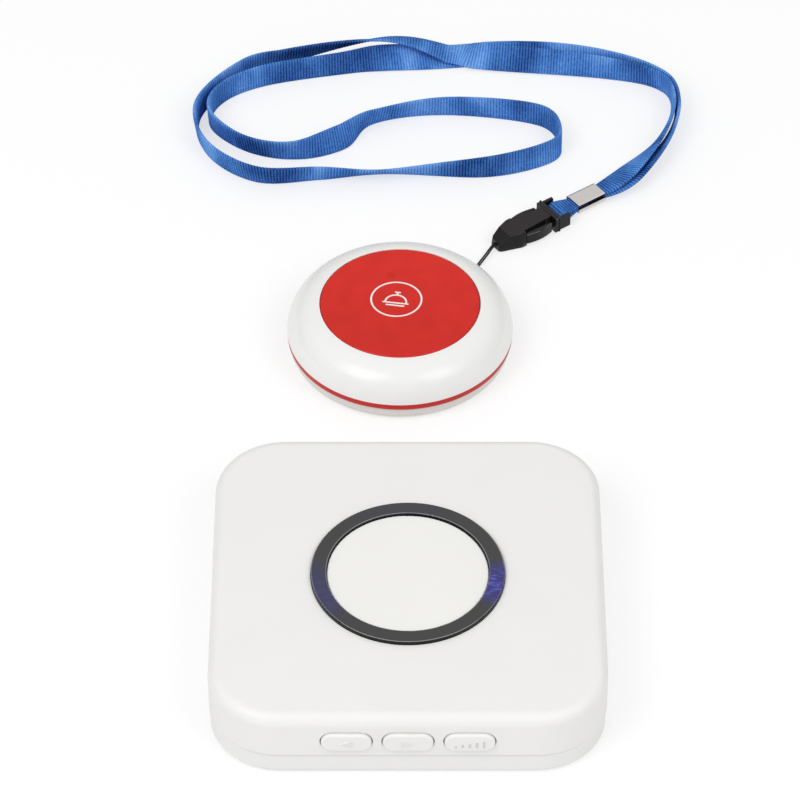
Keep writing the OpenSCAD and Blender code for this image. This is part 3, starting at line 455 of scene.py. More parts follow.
@dataclass(frozen=True, kw_only=True)
class Metal(Finish):
    """Plated or bare metal with fine drawing lines. Each shade zone darkens what lies below a height with
    painted shade.
    """

    tint: Colour
    lines: Lines
    roughness: float = 0.3
    metallic: float = 1.0
    relief_depth: float = 0.01 * MM
    relief_strength: float = 0.4
    line_tone: float = 0.93
    line_stretch: float = 0.04
    turn_deg: float = 0.0
    # Painted shade: each zone's height and tone darken what lies below it.
    shade_zones: Tuple[Span, ...] = ()
    shade_zone_blur: float = 0.05 * MM

    def pattern(self, graph: Surface) -> Pattern:
        """Write the lines, and the painted shade zones with their tones.

        Args:
            graph: the material that is written.

        Returns:
            The sockets of colour, grain and height.
        """
        place = graph.place()
        turned = graph.mapped(place, (1.0, 1.0, 1.0), -self.turn_deg)
        stretch = tuple(self.line_stretch if axis is self.lines else 1.0 for axis in Lines)
        line = graph.noise(graph.mapped(turned, stretch), self.grain_per_m)
        tint = graph.tones(graph.spread(line, NOISE), self.tint, self.line_tone, 1.0)
        height = graph.axes(place)[2]
        # Painted shade below each zone's height.
        for top_z, tone in self.shade_zones:
            below = graph.spread(height, (top_z - self.shade_zone_blur, top_z), FALLING)
            tint = graph.mix(below, tint, scaled(self.tint, tone))
        return tint, line, line


@dataclass(frozen=True)
class Gleam:
    """Painted gleam of a lamp in the ring: where it lies round the ring, half its spread, and its strength.
    """

    angle_deg: float
    half_deg: float
    strength: float


@dataclass(frozen=True, kw_only=True)
class SmokedRing(Finish):
    """Polished smoked plastic: grey on top from a painted reflection, black on its walls, with a painted
    highlight on its rim and a painted violet gleam of the lamps.
    """

    # Painted light: the top tint is a painted reflection, the rim tint a painted highlight, the gleam and
    # streak tints a painted gleam of the lamps.
    lit_top_tint: Colour
    wall_tint: Colour
    highlight_rim_tint: Colour
    gleam_tint: Colour
    gleam_streak_tint: Colour
    middle: Point
    top_z: float
    roughness: float = 0.14
    gloss_swing: float = 0.04
    reflection: float = 0.25
    grain_per_m: float = 2500.0
    relief_depth: float = 0.004 * MM
    relief_strength: float = 0.2
    flat_depths: Span = (0.3 * MM, 0.05 * MM)
    highlight_depths_from: Span = (0.12 * MM, 0.08 * MM)
    highlight_depths_to: Span = (0.03 * MM, 0.01 * MM)
    streak_stretch: Place = (0.35, 1.0, 1.0)
    streaks_per_m: float = 1300.0
    streak_range: Span = (0.5, 0.72)
    streak_share: float = 0.8
    clouds_per_m: float = 420.0
    cloud_shares: Span = (0.55, 1.0)
    # Painted gleams of the lamps: right, left and a faint one at the rear.
    gleams: Tuple[Gleam, ...] = (
        Gleam(-11.0, 26.0, 0.85), Gleam(198.0, 36.0, 0.32), Gleam(97.0, 44.0, 0.06),
    )

    def gleam_share(self, graph: Surface, x: Socket, y: Socket) -> Socket:
        """Say where the painted gleams show.

        Args:
            graph: the material that is written.
            x: distance to the right of the ring's middle, in metres.
            y: distance behind the ring's middle, in metres.

        Returns:
            The gleams' share, 0 to 1.
        """
        radius = graph.distance(x, y)
        parts: List[Socket] = []
        for gleam in self.gleams:
            turn = math.radians(gleam.angle_deg)
            along = graph.plus(graph.times(x, math.cos(turn)), graph.times(y, math.sin(turn)))
            near = graph.maths(Step.DIVIDE, along, radius)
            limit = math.cos(math.radians(gleam.half_deg))
            soft = graph.spread(near, (limit, 1.0), ramp=Ramp.SOFT)
            parts.append(graph.times(graph.times(soft, soft), gleam.strength))
        return reduce(graph.plus, parts)

    def from_top(self, graph: Surface, z: Socket, depths: Span, end: Span = RISING) -> Socket:
        """Run from one value to another between two depths below the ring's top."""
        return graph.spread(z, (self.top_z - depths[0], self.top_z - depths[1]), end)

    def pattern(self, graph: Surface) -> Pattern:
        """Write the smoke with its painted reflection on top, the painted highlight of the rim and the
        painted streaky gleams.

        Args:
            graph: the material that is written.

        Returns:
            The sockets of colour, grain and height.
        """
        place = graph.place()
        x, y, z = graph.axes(place)
        right = graph.maths(Step.SUBTRACT, x, self.middle[0])
        behind = graph.maths(Step.SUBTRACT, y, self.middle[1])
        flat = self.from_top(graph, z, self.flat_depths)
        share = graph.times(self.gleam_share(graph, right, behind), flat)
        streaks = graph.noise(graph.mapped(place, self.streak_stretch), self.streaks_per_m, detail=3.0)
        streak = graph.spread(streaks, self.streak_range, (0.0, self.streak_share))
        cloud = graph.spread(graph.noise(place, self.clouds_per_m), NOISE, self.cloud_shares)
        # Painted highlight on the rim just below the top; the top's grey is painted reflection.
        rim = graph.times(
            self.from_top(graph, z, self.highlight_depths_from),
            self.from_top(graph, z, self.highlight_depths_to, FALLING),
        )
        smoke = graph.mix(rim, graph.mix(flat, self.wall_tint, self.lit_top_tint), self.highlight_rim_tint)
        # Painted gleam of the lamps, with painted bright streaks.
        lit = graph.mix(graph.times(share, cloud), smoke, self.gleam_tint)
        bright = graph.times(graph.times(share, share), streak)
        grain = graph.noise(place, self.grain_per_m)
        return graph.mix(bright, lit, self.gleam_streak_tint), grain, grain


@dataclass(frozen=True, kw_only=True)
class CallRed(Finish):
    """Red moulding of the call disc: mottled, paler to the rear by painted light, with a faint spot over
    its lamp.
    """

    tint: Colour
    spot_tint: Colour
    spot_at: Point
    spot_r: float = 1.6 * MM
    spot_share: float = 0.35
    # Painted light: paler towards the rear over this span behind the middle.
    painted_rear_light: Span = (-30 * MM, 8 * MM)
    dark_tone: float = 0.91
    bright_tone: float = 1.13
    mottle_per_m: float = 170.0
    roughness: float = 0.34
    reflection: float = 0.25

    def pattern(self, graph: Surface) -> Pattern:
        """Write the colour. Mottle and the painted rear light each take half of the way from dark to
        bright.

        Args:
            graph: the material that is written.

        Returns:
            The sockets of colour, grain and height.
        """
        half = (0.0, 0.5)
        place = graph.place()
        x, y, _ = graph.axes(place)
        right = graph.maths(Step.SUBTRACT, x, self.spot_at[0])
        behind = graph.maths(Step.SUBTRACT, y, self.spot_at[1])
        away = graph.distance(right, behind)
        spot = graph.spread(away, (self.spot_r / 2, self.spot_r), (self.spot_share, 0.0))
        mottle = graph.spread(graph.noise(place, self.mottle_per_m, detail=3.0), NOISE, half)
        # Painted light, paler to the rear.
        rear = graph.spread(behind, self.painted_rear_light, half)
        tint = graph.tones(graph.plus(mottle, rear), self.tint, self.dark_tone, self.bright_tone)
        grain = graph.noise(place, self.grain_per_m, detail=3.0)
        return graph.mix(spot, tint, self.spot_tint), grain, grain


@dataclass(frozen=True, kw_only=True)
class Weave(Finish):
    """Woven thread: ribs across the band, fine threads along it, and patches of painted sheen and shade on
    both.
    """

    # Tones run from painted shade through the middle to painted sheen; the darker groove tones are partly
    # painted shade in the rib grooves.
    crest_tones: Tuple[Colour, Colour, Colour]
    shaded_groove_tones: Tuple[Colour, Colour, Colour]
    ribs_per_unit: float
    roughness: float = 0.42
    gloss_swing: float = 0.08
    reflection: float = 0.0
    relief_depth: float = 0.05 * MM
    relief_strength: float = 0.6
    thread_stretch: Place = (6.0, 34.0, 1.0)
    threads_per_unit: float = 3.0
    flecks_per_unit: float = 9.0
    # Patches of painted sheen and shade, placed at random along the band.
    sheen_patch_stretch: Place = (0.7, 0.25, 1.0)
    sheen_patch_deg: float = 12.0
    sheen_patch_range: Span = (0.32, 0.6)
    sheen_patch_shares: Span = (0.0, 0.8)
    crest_weight: float = 0.6
    thread_weight: float = 0.3
    fleck_weight: float = 0.5
    lit_range: Span = (0.4, 1.05)

    def tone(self, graph: Surface, share: Socket, tones: Tuple[Colour, Colour, Colour]) -> Socket:
        """Run through a dark tone of painted shade, a middle tone and a bright tone of painted sheen as the
        share goes from 0 to 1.
        """
        lower = graph.mix(graph.spread(share, (0.0, 0.5)), tones[0], tones[1])
        return graph.mix(graph.spread(share, (0.5, 1.0)), lower, tones[2])

    def pattern(self, graph: Surface) -> Pattern:
        """Write the ribs and threads along the map that a ribbed band carries, with patches of painted
        sheen and shade.

        Args:
            graph: the material that is written.

        Returns:
            The sockets of colour, grain and height.
        """
        chart = graph.node("ShaderNodeUVMap", uv_map=RibbedBand.map_name).outputs["UV"]
        turn = graph.times(graph.axes(chart)[0], math.pi * self.ribs_per_unit)
        crest = graph.maths(Step.ABSOLUTE, graph.maths(Step.SINE, turn))
        thread = graph.noise(graph.mapped(chart, self.thread_stretch), self.threads_per_unit)
        fleck = graph.noise(chart, self.flecks_per_unit, detail=1.0)
        # Painted sheen and shade in random patches.
        patches = graph.noise(graph.mapped(chart, self.sheen_patch_stretch, self.sheen_patch_deg), 1.0, detail=2.5)
        sheen_share = graph.spread(patches, self.sheen_patch_range, self.sheen_patch_shares)
        weights = (self.crest_weight, self.thread_weight, self.fleck_weight)
        parts = [graph.times(part, weight) for part, weight in zip((crest, thread, fleck), weights)]
        lit = graph.spread(reduce(graph.plus, parts), self.lit_range)
        # The grooves take the darker tones: partly painted shade in the grooves.
        groove, ridge = (self.tone(graph, sheen_share, tones) for tones in (self.shaded_groove_tones, self.crest_tones))
        return graph.mix(lit, groove, ridge), thread, thread


@dataclass(frozen=True, kw_only=True)
class Braid(Finish):
    """Thin braided cord."""

    tint: Colour
    strands_per_m: float = 700.0
    strand_twist: float = 2.0
    strand_range: Span = (0.2, 0.8)
    dark_tone: float = 0.6
    bright_tone: float = 1.6
    roughness: float = 0.6
    gloss_swing: float = 0.1
    relief_depth: float = 0.1 * MM
    relief_strength: float = 0.7

    def pattern(self, graph: Surface) -> Pattern:
        """Write the slanting strands.

        Args:
            graph: the material that is written.

        Returns:
            The sockets of colour, grain and height.
        """
        place = graph.place()
        wave = graph.node("ShaderNodeTexWave", bands_direction="DIAGONAL")
        wave.inputs["Scale"].default_value = self.strands_per_m
        wave.inputs["Distortion"].default_value = self.strand_twist
        graph.join(place, wave.inputs["Vector"])
        strand = wave.outputs["Fac"]
        share = graph.spread(strand, self.strand_range)
        tint = graph.tones(share, self.tint, self.dark_tone, self.bright_tone)
        return tint, graph.noise(place, self.grain_per_m), strand


class Palette:
    """All finishes of the set, each made once."""

    def __init__(self) -> None:
        """Make the finishes."""
        self.add_whites()
        self.add_call_colours()
        self.add_blacks()
        self.add_inner_colours()
        self.add_metals()
        self.add_threads()

    def add_whites(self) -> None:
        """Make the whites and greys of both cases and of the signs."""
        self.receiver_white = Moulding(
            "receiver white", tint=(0.831, 0.824, 0.808), roughness=0.48, grain_per_m=5000.0,
        ).build()
        # The back cover's white carries painted shade in the seam between the covers.
        self.base_white = Moulding(
            "base white", tint=(0.82, 0.816, 0.806), roughness=0.5, grain_per_m=5000.0,
            relief_depth=0.03 * MM, seam_shade_z=Receiver.seam_z * MM, seam_shade_tone=0.78,
        ).build()
        self.disc_white = Moulding(
            "disc white", tint=(0.848, 0.842, 0.812), relief_depth=0.01 * MM,
        ).build()
        # A little greyer than the buttons' white: partly painted shade that makes the raised signs read.
        self.sign_white = Moulding(
            "sign white", tint=(0.765, 0.762, 0.755), roughness=0.5, grain_per_m=5000.0,
        ).build()
        self.mark_grey = Moulding(
            "mark grey", tint=(0.62, 0.62, 0.615), roughness=0.45, grain_per_m=5000.0,
        ).build()
        self.shell_white = Moulding(
            "shell white", tint=(0.85, 0.847, 0.833), roughness=0.24, reflection=0.42,
            grain_per_m=2000.0, relief_depth=0.006 * MM,
        ).build()
        self.pendant_grey = Moulding("pendant base", tint=linear(219, 215, 210)).build()
        self.print_white = Moulding(
            "print white", tint=(0.86, 0.85, 0.83), roughness=0.5, grain_per_m=6000.0,
            relief_depth=0.01 * MM,
        ).build()

    def add_call_colours(self) -> None:
        """Make the reds of the pendant and the smoked plastic of the ring."""
        lamp_at = tuple((part + step) * MM for part, step in zip(Pendant.middle, Pendant.lamp_offset))
        self.call_red = CallRed(
            "call red", tint=linear(207, 38, 29), spot_tint=linear(176, 30, 24), spot_at=lamp_at,
        ).build()
        self.band_red = Moulding(
            "band red", tint=linear(190, 28, 24), roughness=0.35, reflection=0.3,
        ).build()
        # The ring carries a painted reflection, a painted rim highlight and painted gleams.
        self.smoked = SmokedRing(
            "smoked ring",
            lit_top_tint=(0.055, 0.055, 0.057),
            wall_tint=(0.004, 0.004, 0.005),
            highlight_rim_tint=(0.27, 0.27, 0.275),
            gleam_tint=linear(54, 52, 140),
            gleam_streak_tint=linear(112, 120, 220),
            middle=(0.0, Receiver.middle_y * MM),
            top_z=Receiver.ring_top * MM,
        ).build()

    def add_blacks(self) -> None:
        """Make the black plastics and the rubber."""
        self.black = Moulding(
            "black moulding", tint=(0.026, 0.0235, 0.023), roughness=0.38, reflection=0.2,
            grain_per_m=3500.0, relief_depth=0.03 * MM, unevenness=0.02,
        ).build()
        # The buckle's black carries painted light on its tops and a painted highlight on its edges.
        self.buckle_black = SlopeLitBlack(
            "buckle black",
            lit_top_tint=(0.027, 0.0245, 0.024),
            wall_tint=(0.007, 0.0065, 0.0068),
            highlight_edge_tint=(0.085, 0.082, 0.08),
        ).build()
        self.rubber = Moulding(
            "foot rubber", tint=(0.02, 0.02, 0.02), roughness=0.75, grain_per_m=2500.0,
            relief_depth=0.06 * MM, unevenness=0.1,
        ).build()

    def add_inner_colours(self) -> None:
        """Make the finishes of what lies inside the cases."""
        self.board_green = Moulding(
            "board green", tint=linear(18, 84, 48), roughness=0.35, grain_per_m=1500.0,
            relief_depth=0.03 * MM, unevenness=0.1,
        ).build()
        self.lamp = Moulding("lamp resin", tint=(0.85, 0.83, 0.7), roughness=0.2).build()
        self.cell_blue = Moulding(
            "cell sleeve", tint=linear(46, 74, 112), roughness=0.3, grain_per_m=1500.0,
            relief_depth=0.01 * MM,
        ).build()
        self.speaker_grey = Moulding("speaker frame", tint=linear(110, 110, 112)).build()
        self.fibre = Moulding(
            "speaker cone", tint=linear(46, 46, 50), roughness=0.85, grain_per_m=3000.0,
            relief_depth=0.08 * MM, unevenness=0.15,
        ).build()

    def add_metals(self) -> None:
        """Make the metals. The crimp has painted shade on its lower wall, and a dark band of painted shade
        where its top edge turns down.
        """
        self.steel = Metal("plated steel", tint=(0.72, 0.72, 0.71), lines=Lines.ALONG_Z).build()
        self.brass = Metal("antenna wire", tint=(0.8, 0.6, 0.32), lines=Lines.ALONG_Y).build()
        self.nickel = Metal(
            "nickel crimp", tint=(0.98, 0.93, 0.895), lines=Lines.ALONG_X, roughness=0.16,
            grain_per_m=2500.0, relief_depth=0.002 * MM, line_tone=0.97, turn_deg=Lanyard.buckle_deg,
            # Painted shade: a dark band where the top edge turns down, and a dimmer lower wall.
            shade_zones=((3.9 * MM, 0.04), (2.65 * MM, 0.66)),
        ).build()

    def add_threads(self) -> None:
        """Make the weave of the ribbon and the braid of the cord."""
        # The ribbon's tones hold painted shade, painted sheen and, in the grooves, partly painted shade.
        self.ribbon = Weave(
            "ribbon blue",
            crest_tones=(linear(58, 104, 180), linear(92, 149, 224), linear(138, 192, 254)),
            shaded_groove_tones=(linear(8, 24, 74), linear(42, 84, 157), linear(88, 137, 213)),
            ribs_per_unit=RibbedBand.map_unit / RibbedBand.rib_pitch,
        ).build()
        self.cord = Braid("cord black", tint=(0.012, 0.011, 0.011)).build()


def new_piece(
    name: str, shape: Union[bpy.types.Mesh, bpy.types.Curve], finish: bpy.types.Material, body: Body
) -> bpy.types.Object:
    """Put a shape into the scene as a piece of the set.

    Args:
        name: name of the piece.
        shape: its mesh or curve, in the row frame.
        finish: its material.
        body: CAD body that it rides on.

    Returns:
        The new object.
    """
    piece = bpy.data.objects.new(name, shape)
    bpy.context.scene.collection.objects.link(piece)
    shape.materials.append(finish)
    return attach(piece, body.value)


def dress(node: str, finish: bpy.types.Material, edge: float = 0.0, steps: int = 3) -> str:
    """Give a CAD node its finish and, if wanted, softened edges.

    Args:
        node: name of the CAD node.
        finish: its material.
        edge: width of the softened edges, in metres; 0 leaves them as they are.
        steps: faces across a softened edge; 1 makes a flat chamfer.

    Returns:
        The node's name.
    """
    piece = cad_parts[node]
    piece.data.materials.clear()
    piece.data.materials.append(finish)
    if edge > 0:
        weld = piece.modifiers.new("weld", "WELD")
        weld.merge_threshold = 0.001 * MM
        bevel = piece.modifiers.new("soft edge", "BEVEL")
        bevel.width = edge
        bevel.segments = steps
        bevel.limit_method = "ANGLE"
        bevel.angle_limit = math.radians(SHARP_DEG)
        bevel.harden_normals = steps > 1
    return node


class RingSkin:
    """Mesh in the making that is stretched over closed rings of points."""

    def __init__(self) -> None:
        """Start empty."""
        self.shape = bmesh.new()

    def ring(self, places: Iterable[Sequence[float]]) -> Ring:
        """Add the points of one ring."""
        return [self.shape.verts.new(place) for place in places]

    def join(self, rings: Sequence[Ring]) -> List[bmesh.types.BMFace]:
        """Stretch the skin from each ring to the next.

        Args:
            rings: rings with the same number of points.

        Returns:
            The new faces.
        """
        sides: List[bmesh.types.BMFace] = []
        for near, far in zip(rings, rings[1:]):
            for i in range(len(near)):
                j = (i + 1) % len(near)
                sides.append(self.shape.faces.new((near[i], near[j], far[j], far[i])))
        return sides

    def cap(self, rings: Sequence[Ring]) -> None:
        """Close the first and the last ring."""
        self.shape.faces.new(rings[0][::-1])
        self.shape.faces.new(rings[-1])

    def finish(self, name: str, pose: Optional[Matrix] = None) -> bpy.types.Mesh:
        """Turn the skin into a mesh.

        Args:
            name: name of the mesh.
            pose: how the points are moved into the row frame, if they aren't in it.

        Returns:
            The mesh in the row frame, in metres.
        """
        bmesh.ops.recalc_face_normals(self.shape, faces=self.shape.faces)
        if pose is not None:
            self.shape.transform(pose)
        mesh = bpy.data.meshes.new(name)
        self.shape.to_mesh(mesh)
        self.shape.free()
        return mesh


class RaisedSign(RingSkin):
    """Thin raised sign with chamfered edges, drawn in a plane in mm and then set on a face."""

    shoulder_share: float = 0.6
    chamfer_share: float = 0.5

    def __init__(self, height: float) -> None:
        """Start an empty sign.

        Args:
            height: how far the sign stands out of its plane, and how deep it is set in, in mm.
        """
        super().__init__()
        self.height = height
        self.shoulder = height * self.shoulder_share
        self.chamfer = height * self.chamfer_share

    def fill(self, outline: Sequence[Point]) -> None:
        """Add a filled shape.

        Args:
            outline: corners of the shape, in order.
        """
        corners = [Vector(corner) for corner in outline]
        middle = sum(corners, Vector((0.0, 0.0))) / len(corners)
        rings: List[Ring] = []
        for inset, z in ((0.0, -self.height), (0.0, self.shoulder), (self.chamfer, self.height)):
            spots = [corner + (middle - corner).normalized() * inset for corner in corners]
            rings.append(self.ring((spot.x, spot.y, z) for spot in spots))
        self.join(rings)
        self.cap(rings)

    def line(self, points: Sequence[Point], width: float, closed: bool = False) -> None:
        """Add a line of even width.

        Args:
            points: points along the line.
            width: the line's width.
            closed: whether the last point runs on to the first.
        """
        half = width / 2
        side = ((half, -self.height), (half, self.shoulder), (half - self.chamfer, self.height))
        section = [*side, *((-reach, z) for reach, z in side[::-1])]
        last = len(points) - 1
        rings: List[Ring] = []
        for i, (x, y) in enumerate(points):
            before = points[i - 1] if closed or i > 0 else (x, y)
            after = points[(i + 1) % len(points)] if closed or i < last else (x, y)
            along = (Vector(after) - Vector(before)).normalized()
            rings.append(self.ring((x - along.y * reach, y + along.x * reach, z) for reach, z in section))
        if closed:
            self.join([*rings, rings[0]])
        else:
            self.join(rings)
            self.cap(rings)

    def set_on(self, name: str, pose: Matrix) -> bpy.types.Mesh:
        """Set the sign on a face. The pose lays its plane there, with Z pointing outwards."""
        return self.finish(name, pose @ Matrix.Scale(MM, 4))


@dataclass(frozen=True)
class SoftBox:
    """Square soft lamp."""

    name: str
    place: Place
    size: float
    watts: float


@dataclass
class Studio:
    """Camera, pale floor and soft light. Sizes are in metres."""

    camera_at: Place = (-0.002, -0.8023, 0.8026)
    camera_down_deg: float = 43.56
    view_deg: float = 10.68
    view_range: Span = (0.05, 20.0)
    floor_half: float = 4.0
    floor_drop: float = 0.05 * MM
    floor_glow: float = 0.64
    floor_tones: Span = (0.88, 0.9)
    floor_roughness: float = 0.9
    floor_patches_per_m: float = 3.0
    sky_level: float = 0.66
    sky_low_share: float = 0.8
    sky_rise: Span = (0.0, 0.8)
    horizon_level: float = 0.06
    horizon_rise: Span = (0.2, 0.7)
    lamps_aim: Place = (0.0, 0.02, 0.0)
    lamps: Tuple[SoftBox, ...] = (
        SoftBox("left softbox", (-0.6, -0.55, 1.0), 0.7, 5.8),
        SoftBox("right softbox", (0.65, -0.55, 0.95), 0.6, 3.48),
    )

    def build(self) -> None:
        """Set up the camera, the floor and the lights."""
        self.add_camera()
        self.add_floor()
        self.add_sky()
        for lamp in self.lamps:
            self.add_lamp(lamp)
        bpy.context.scene.view_settings.view_transform = "Standard"

    def add_camera(self) -> None:
        """Place the camera in front of the receiver, looking down on the whole set."""
        lens = bpy.data.cameras.new("camera")
        lens.sensor_fit = "HORIZONTAL"
        lens.angle = math.radians(self.view_deg)
        lens.clip_start, lens.clip_end = self.view_range
        camera = bpy.data.objects.new("camera", lens)
        camera.location = self.camera_at
        camera.rotation_euler = (math.radians(90 - self.camera_down_deg), 0.0, 0.0)
        bpy.context.scene.collection.objects.link(camera)
        bpy.context.scene.camera = camera

    def add_floor(self) -> None:
        """Lay a plain white floor just under the set."""
        mesh = bpy.data.meshes.new("floor")
        half = self.floor_half
        sides = ((-half, -half), (half, -half), (half, half), (-half, half))
        mesh.from_pydata([(x, y, -self.floor_drop) for x, y in sides], [], [(0, 1, 2, 3)])
        mesh.materials.append(self.floor_finish())
        floor = bpy.data.objects.new("floor", mesh)
        bpy.context.scene.collection.objects.link(floor)

    def floor_finish(self) -> bpy.types.Material:
        """Make the floor's white, which is full white where the camera or a gloss sees it unshaded.

        Returns:
            The new material.
        """
        white = (1.0, 1.0, 1.0)
        graph = Surface("floor white")
        patches = graph.noise(graph.place(), self.floor_patches_per_m)
        rays = graph.node("ShaderNodeLightPath")
        kinds = ("Is Camera Ray", "Is Glossy Ray", "Is Transmission Ray")
        seen = reduce(graph.larger, (rays.outputs[kind] for kind in kinds))
        graph.paint(graph.mix(seen, graph.tones(patches, white, *self.floor_tones), white))
        graph.set(Roughness=self.floor_roughness, Specular_IOR_Level=0.0)
        glow = graph.node("ShaderNodeEmission")
        glow.inputs["Strength"].default_value = 1.0
        blend = graph.node("ShaderNodeMixShader")
        graph.join(graph.times(seen, self.floor_glow), blend.inputs["Fac"])
        graph.join(graph.shader.outputs["BSDF"], blend.inputs[1])
        graph.join(glow.outputs["Emission"], blend.inputs[2])
        graph.join(blend.outputs["Shader"], graph.output.inputs["Surface"])
        return graph.material

    def add_sky(self) -> None:
        """Surround the set with white light. A gloss sees a dark horizon below a white ceiling."""
        world = bpy.data.worlds.new("studio")
        world.use_nodes = True
        bpy.context.scene.world = world
        sky = Graph(world.node_tree)
        height = sky.axes(sky.node("ShaderNodeTexCoord").outputs["Generated"])[2]
        even = sky.spread(height, self.sky_rise, (self.sky_level * self.sky_low_share, self.sky_level))
        mirrored = sky.spread(height, self.horizon_rise, (self.horizon_level, self.sky_level))
        glossy = sky.node("ShaderNodeLightPath").outputs["Is Glossy Ray"]
        blend = sky.node("ShaderNodeMix")
        for slot, source in (("Factor", glossy), ("A", even), ("B", mirrored)):
            sky.join(source, blend.inputs[slot])
        background = sky.tree.nodes["Background"]
        background.inputs["Color"].default_value = (1.0, 1.0, 1.0, 1.0)
        sky.join(blend.outputs["Result"], background.inputs["Strength"])

    def add_lamp(self, box: SoftBox) -> None:
        """Add one lamp that points at the set.

        Args:
            box: the lamp's place, size and power.
        """
        data = bpy.data.lights.new(box.name, "AREA")
        data.shape = "SQUARE"
        data.size = box.size
        data.energy = box.watts
        lamp = bpy.data.objects.new(box.name, data)
        lamp.location = box.place
        aim = Vector(self.lamps_aim) - Vector(box.place)
        lamp.rotation_euler = aim.to_track_quat("-Z", "Y").to_euler()
        bpy.context.scene.collection.objects.link(lamp)


class SmoothCurve:
    """Smooth curve through points of any number of parts. Whole places are the points themselves."""

    def __init__(self, points: Sequence[Sequence[float]]) -> None:
        """Take the points that the curve runs through."""
        self.points = [Vector(point) for point in points]

    def knot(self, index: int) -> Vector:
        """Give a point of the list, or the end's own continuation.

        Args:
            index: place in the list.

        Returns:
            The point.
        """
        if index < 0:
            return 2 * self.points[0] - self.points[1]
        if index >= len(self.points):
            return 2 * self.points[-1] - self.points[-2]
        return self.points[index]

    def at(self, place: float) -> Vector:
        """Give the point of the curve at a place.

        Args:
            place: place along the list.

        Returns:
            The point.
        """
        index = max(0, min(math.floor(place), len(self.points) - 2))
        t = place - index
        a, b, c, d = (self.knot(index + step) for step in (-1, 0, 1, 2))
        return 0.5 * (
            2 * b + (c - a) * t + (2 * a - 5 * b + 4 * c - d) * t * t + (3 * b - a - 3 * c + d) * t * t * t
        )

    def places(self, steps: int) -> List[float]:
        """Give places along the whole curve, so many to each point of the list."""
        return [i / steps for i in range((len(self.points) - 1) * steps + 1)]

    def way(self, place: float, reach: float) -> Vector:
        """Give the way that the curve runs at a place, read so far before and behind it."""
        return self.at(place + reach) - self.at(place - reach)


def path_length(path: Sequence[Vector]) -> float:
    """Add up the steps of a path."""
    return sum((after - before).length for before, after in zip(path, path[1:]))


@dataclass
class BandSection:
    """Section of a band at one place: its middle, the way of its width, the way of its face, its width."""

    middle: Vector
    across: Vector
    face: Vector
    width: float


@dataclass
class RibbedBand:
    """Flat woven band with ribs across it, swept along sections. Sizes are in metres."""

    thickness: float = 0.9 * MM
    rib_pitch: float = 0.86 * MM
    rib_depth: float = 0.1 * MM
    steps_per_rib: int = 6
    scallop: float = 0.15 * MM
    edge_round: float = 0.3 * MM
    edge_lift: float = 0.45
    face_shares: Tuple[float, ...] = (-1.0, -0.5, 0.0, 0.5, 1.0)
    map_name: str = "weave"
    map_unit: float = 10 * MM

    def even(self, sections: Sequence[BandSection]) -> List[Tuple[float, BandSection]]:
        """Space sections evenly along the band.

        Args:
            sections: sections close together, in order.

        Returns:
            Each section with its distance from the start.
        """
        reach = [0.0]
        for before, after in zip(sections, sections[1:]):
            reach.append(reach[-1] + (after.middle - before.middle).length)
        count = max(2, round(reach[-1] / (self.rib_pitch / self.steps_per_rib)))
        spaced: List[Tuple[float, BandSection]] = []
        index = 0
        for step in range(count + 1):
            goal = reach[-1] * step / count
            while index < len(reach) - 2 and reach[index + 1] < goal:
                index += 1
            t = portion(goal, reach[index], reach[index + 1])
            first, second = sections[index], sections[index + 1]
            spaced.append((goal, BandSection(
                first.middle.lerp(second.middle, t),
                first.across.lerp(second.across, t).normalized(),
                first.face.lerp(second.face, t).normalized(),
                first.width + (second.width - first.width) * t,
            )))
        return spaced

    def outline(self, reach: float, width: float) -> List[Point]:
        """Give the band's outline at one place.

        Args:
            reach: distance from the band's start.
            width: the band's width there.

        Returns:
            Distances along the width and out of the middle plane, once round.
        """
        crest = abs(math.sin(math.pi * reach / self.rib_pitch))
        half = self.thickness / 2 - self.rib_depth * (1 - crest)
        edge = width / 2 - self.scallop * (1 - crest)
        inner = edge - self.edge_round
        low = half * self.edge_lift
        front = [(-edge, low), *((inner * share, half) for share in self.face_shares), (edge, low)]
        return [*front, *((place, -lift) for place, lift in front[::-1])]

    def build(self, name: str, sections: Sequence[BandSection]) -> bpy.types.Mesh:
        """Make the band's mesh, with its map for the weave: units along it, shares of its width across.

        Args:
            name: name of the mesh.
            sections: sections close together, in order.

        Returns:
            The mesh in the row frame.
        """
        skin = RingSkin()
        chart = skin.shape.loops.layers.uv.new(self.map_name)
        rings: List[Ring] = []
        spots: Dict[bmesh.types.BMVert, Point] = {}
        for reach, section in self.even(sections):
            outline = self.outline(reach, section.width)
            ring = skin.ring(
                section.middle + section.across * place + section.face * lift for place, lift in outline
            )
            for point, (place, _) in zip(ring, outline):
                spots[point] = (reach / self.map_unit, place / section.width + 0.5)
            rings.append(ring)
        for side in skin.join(rings):
            side.smooth = True
            for loop in side.loops:
                loop[chart].uv = spots[loop.vert]
        skin.cap(rings)
        return skin.finish(name)


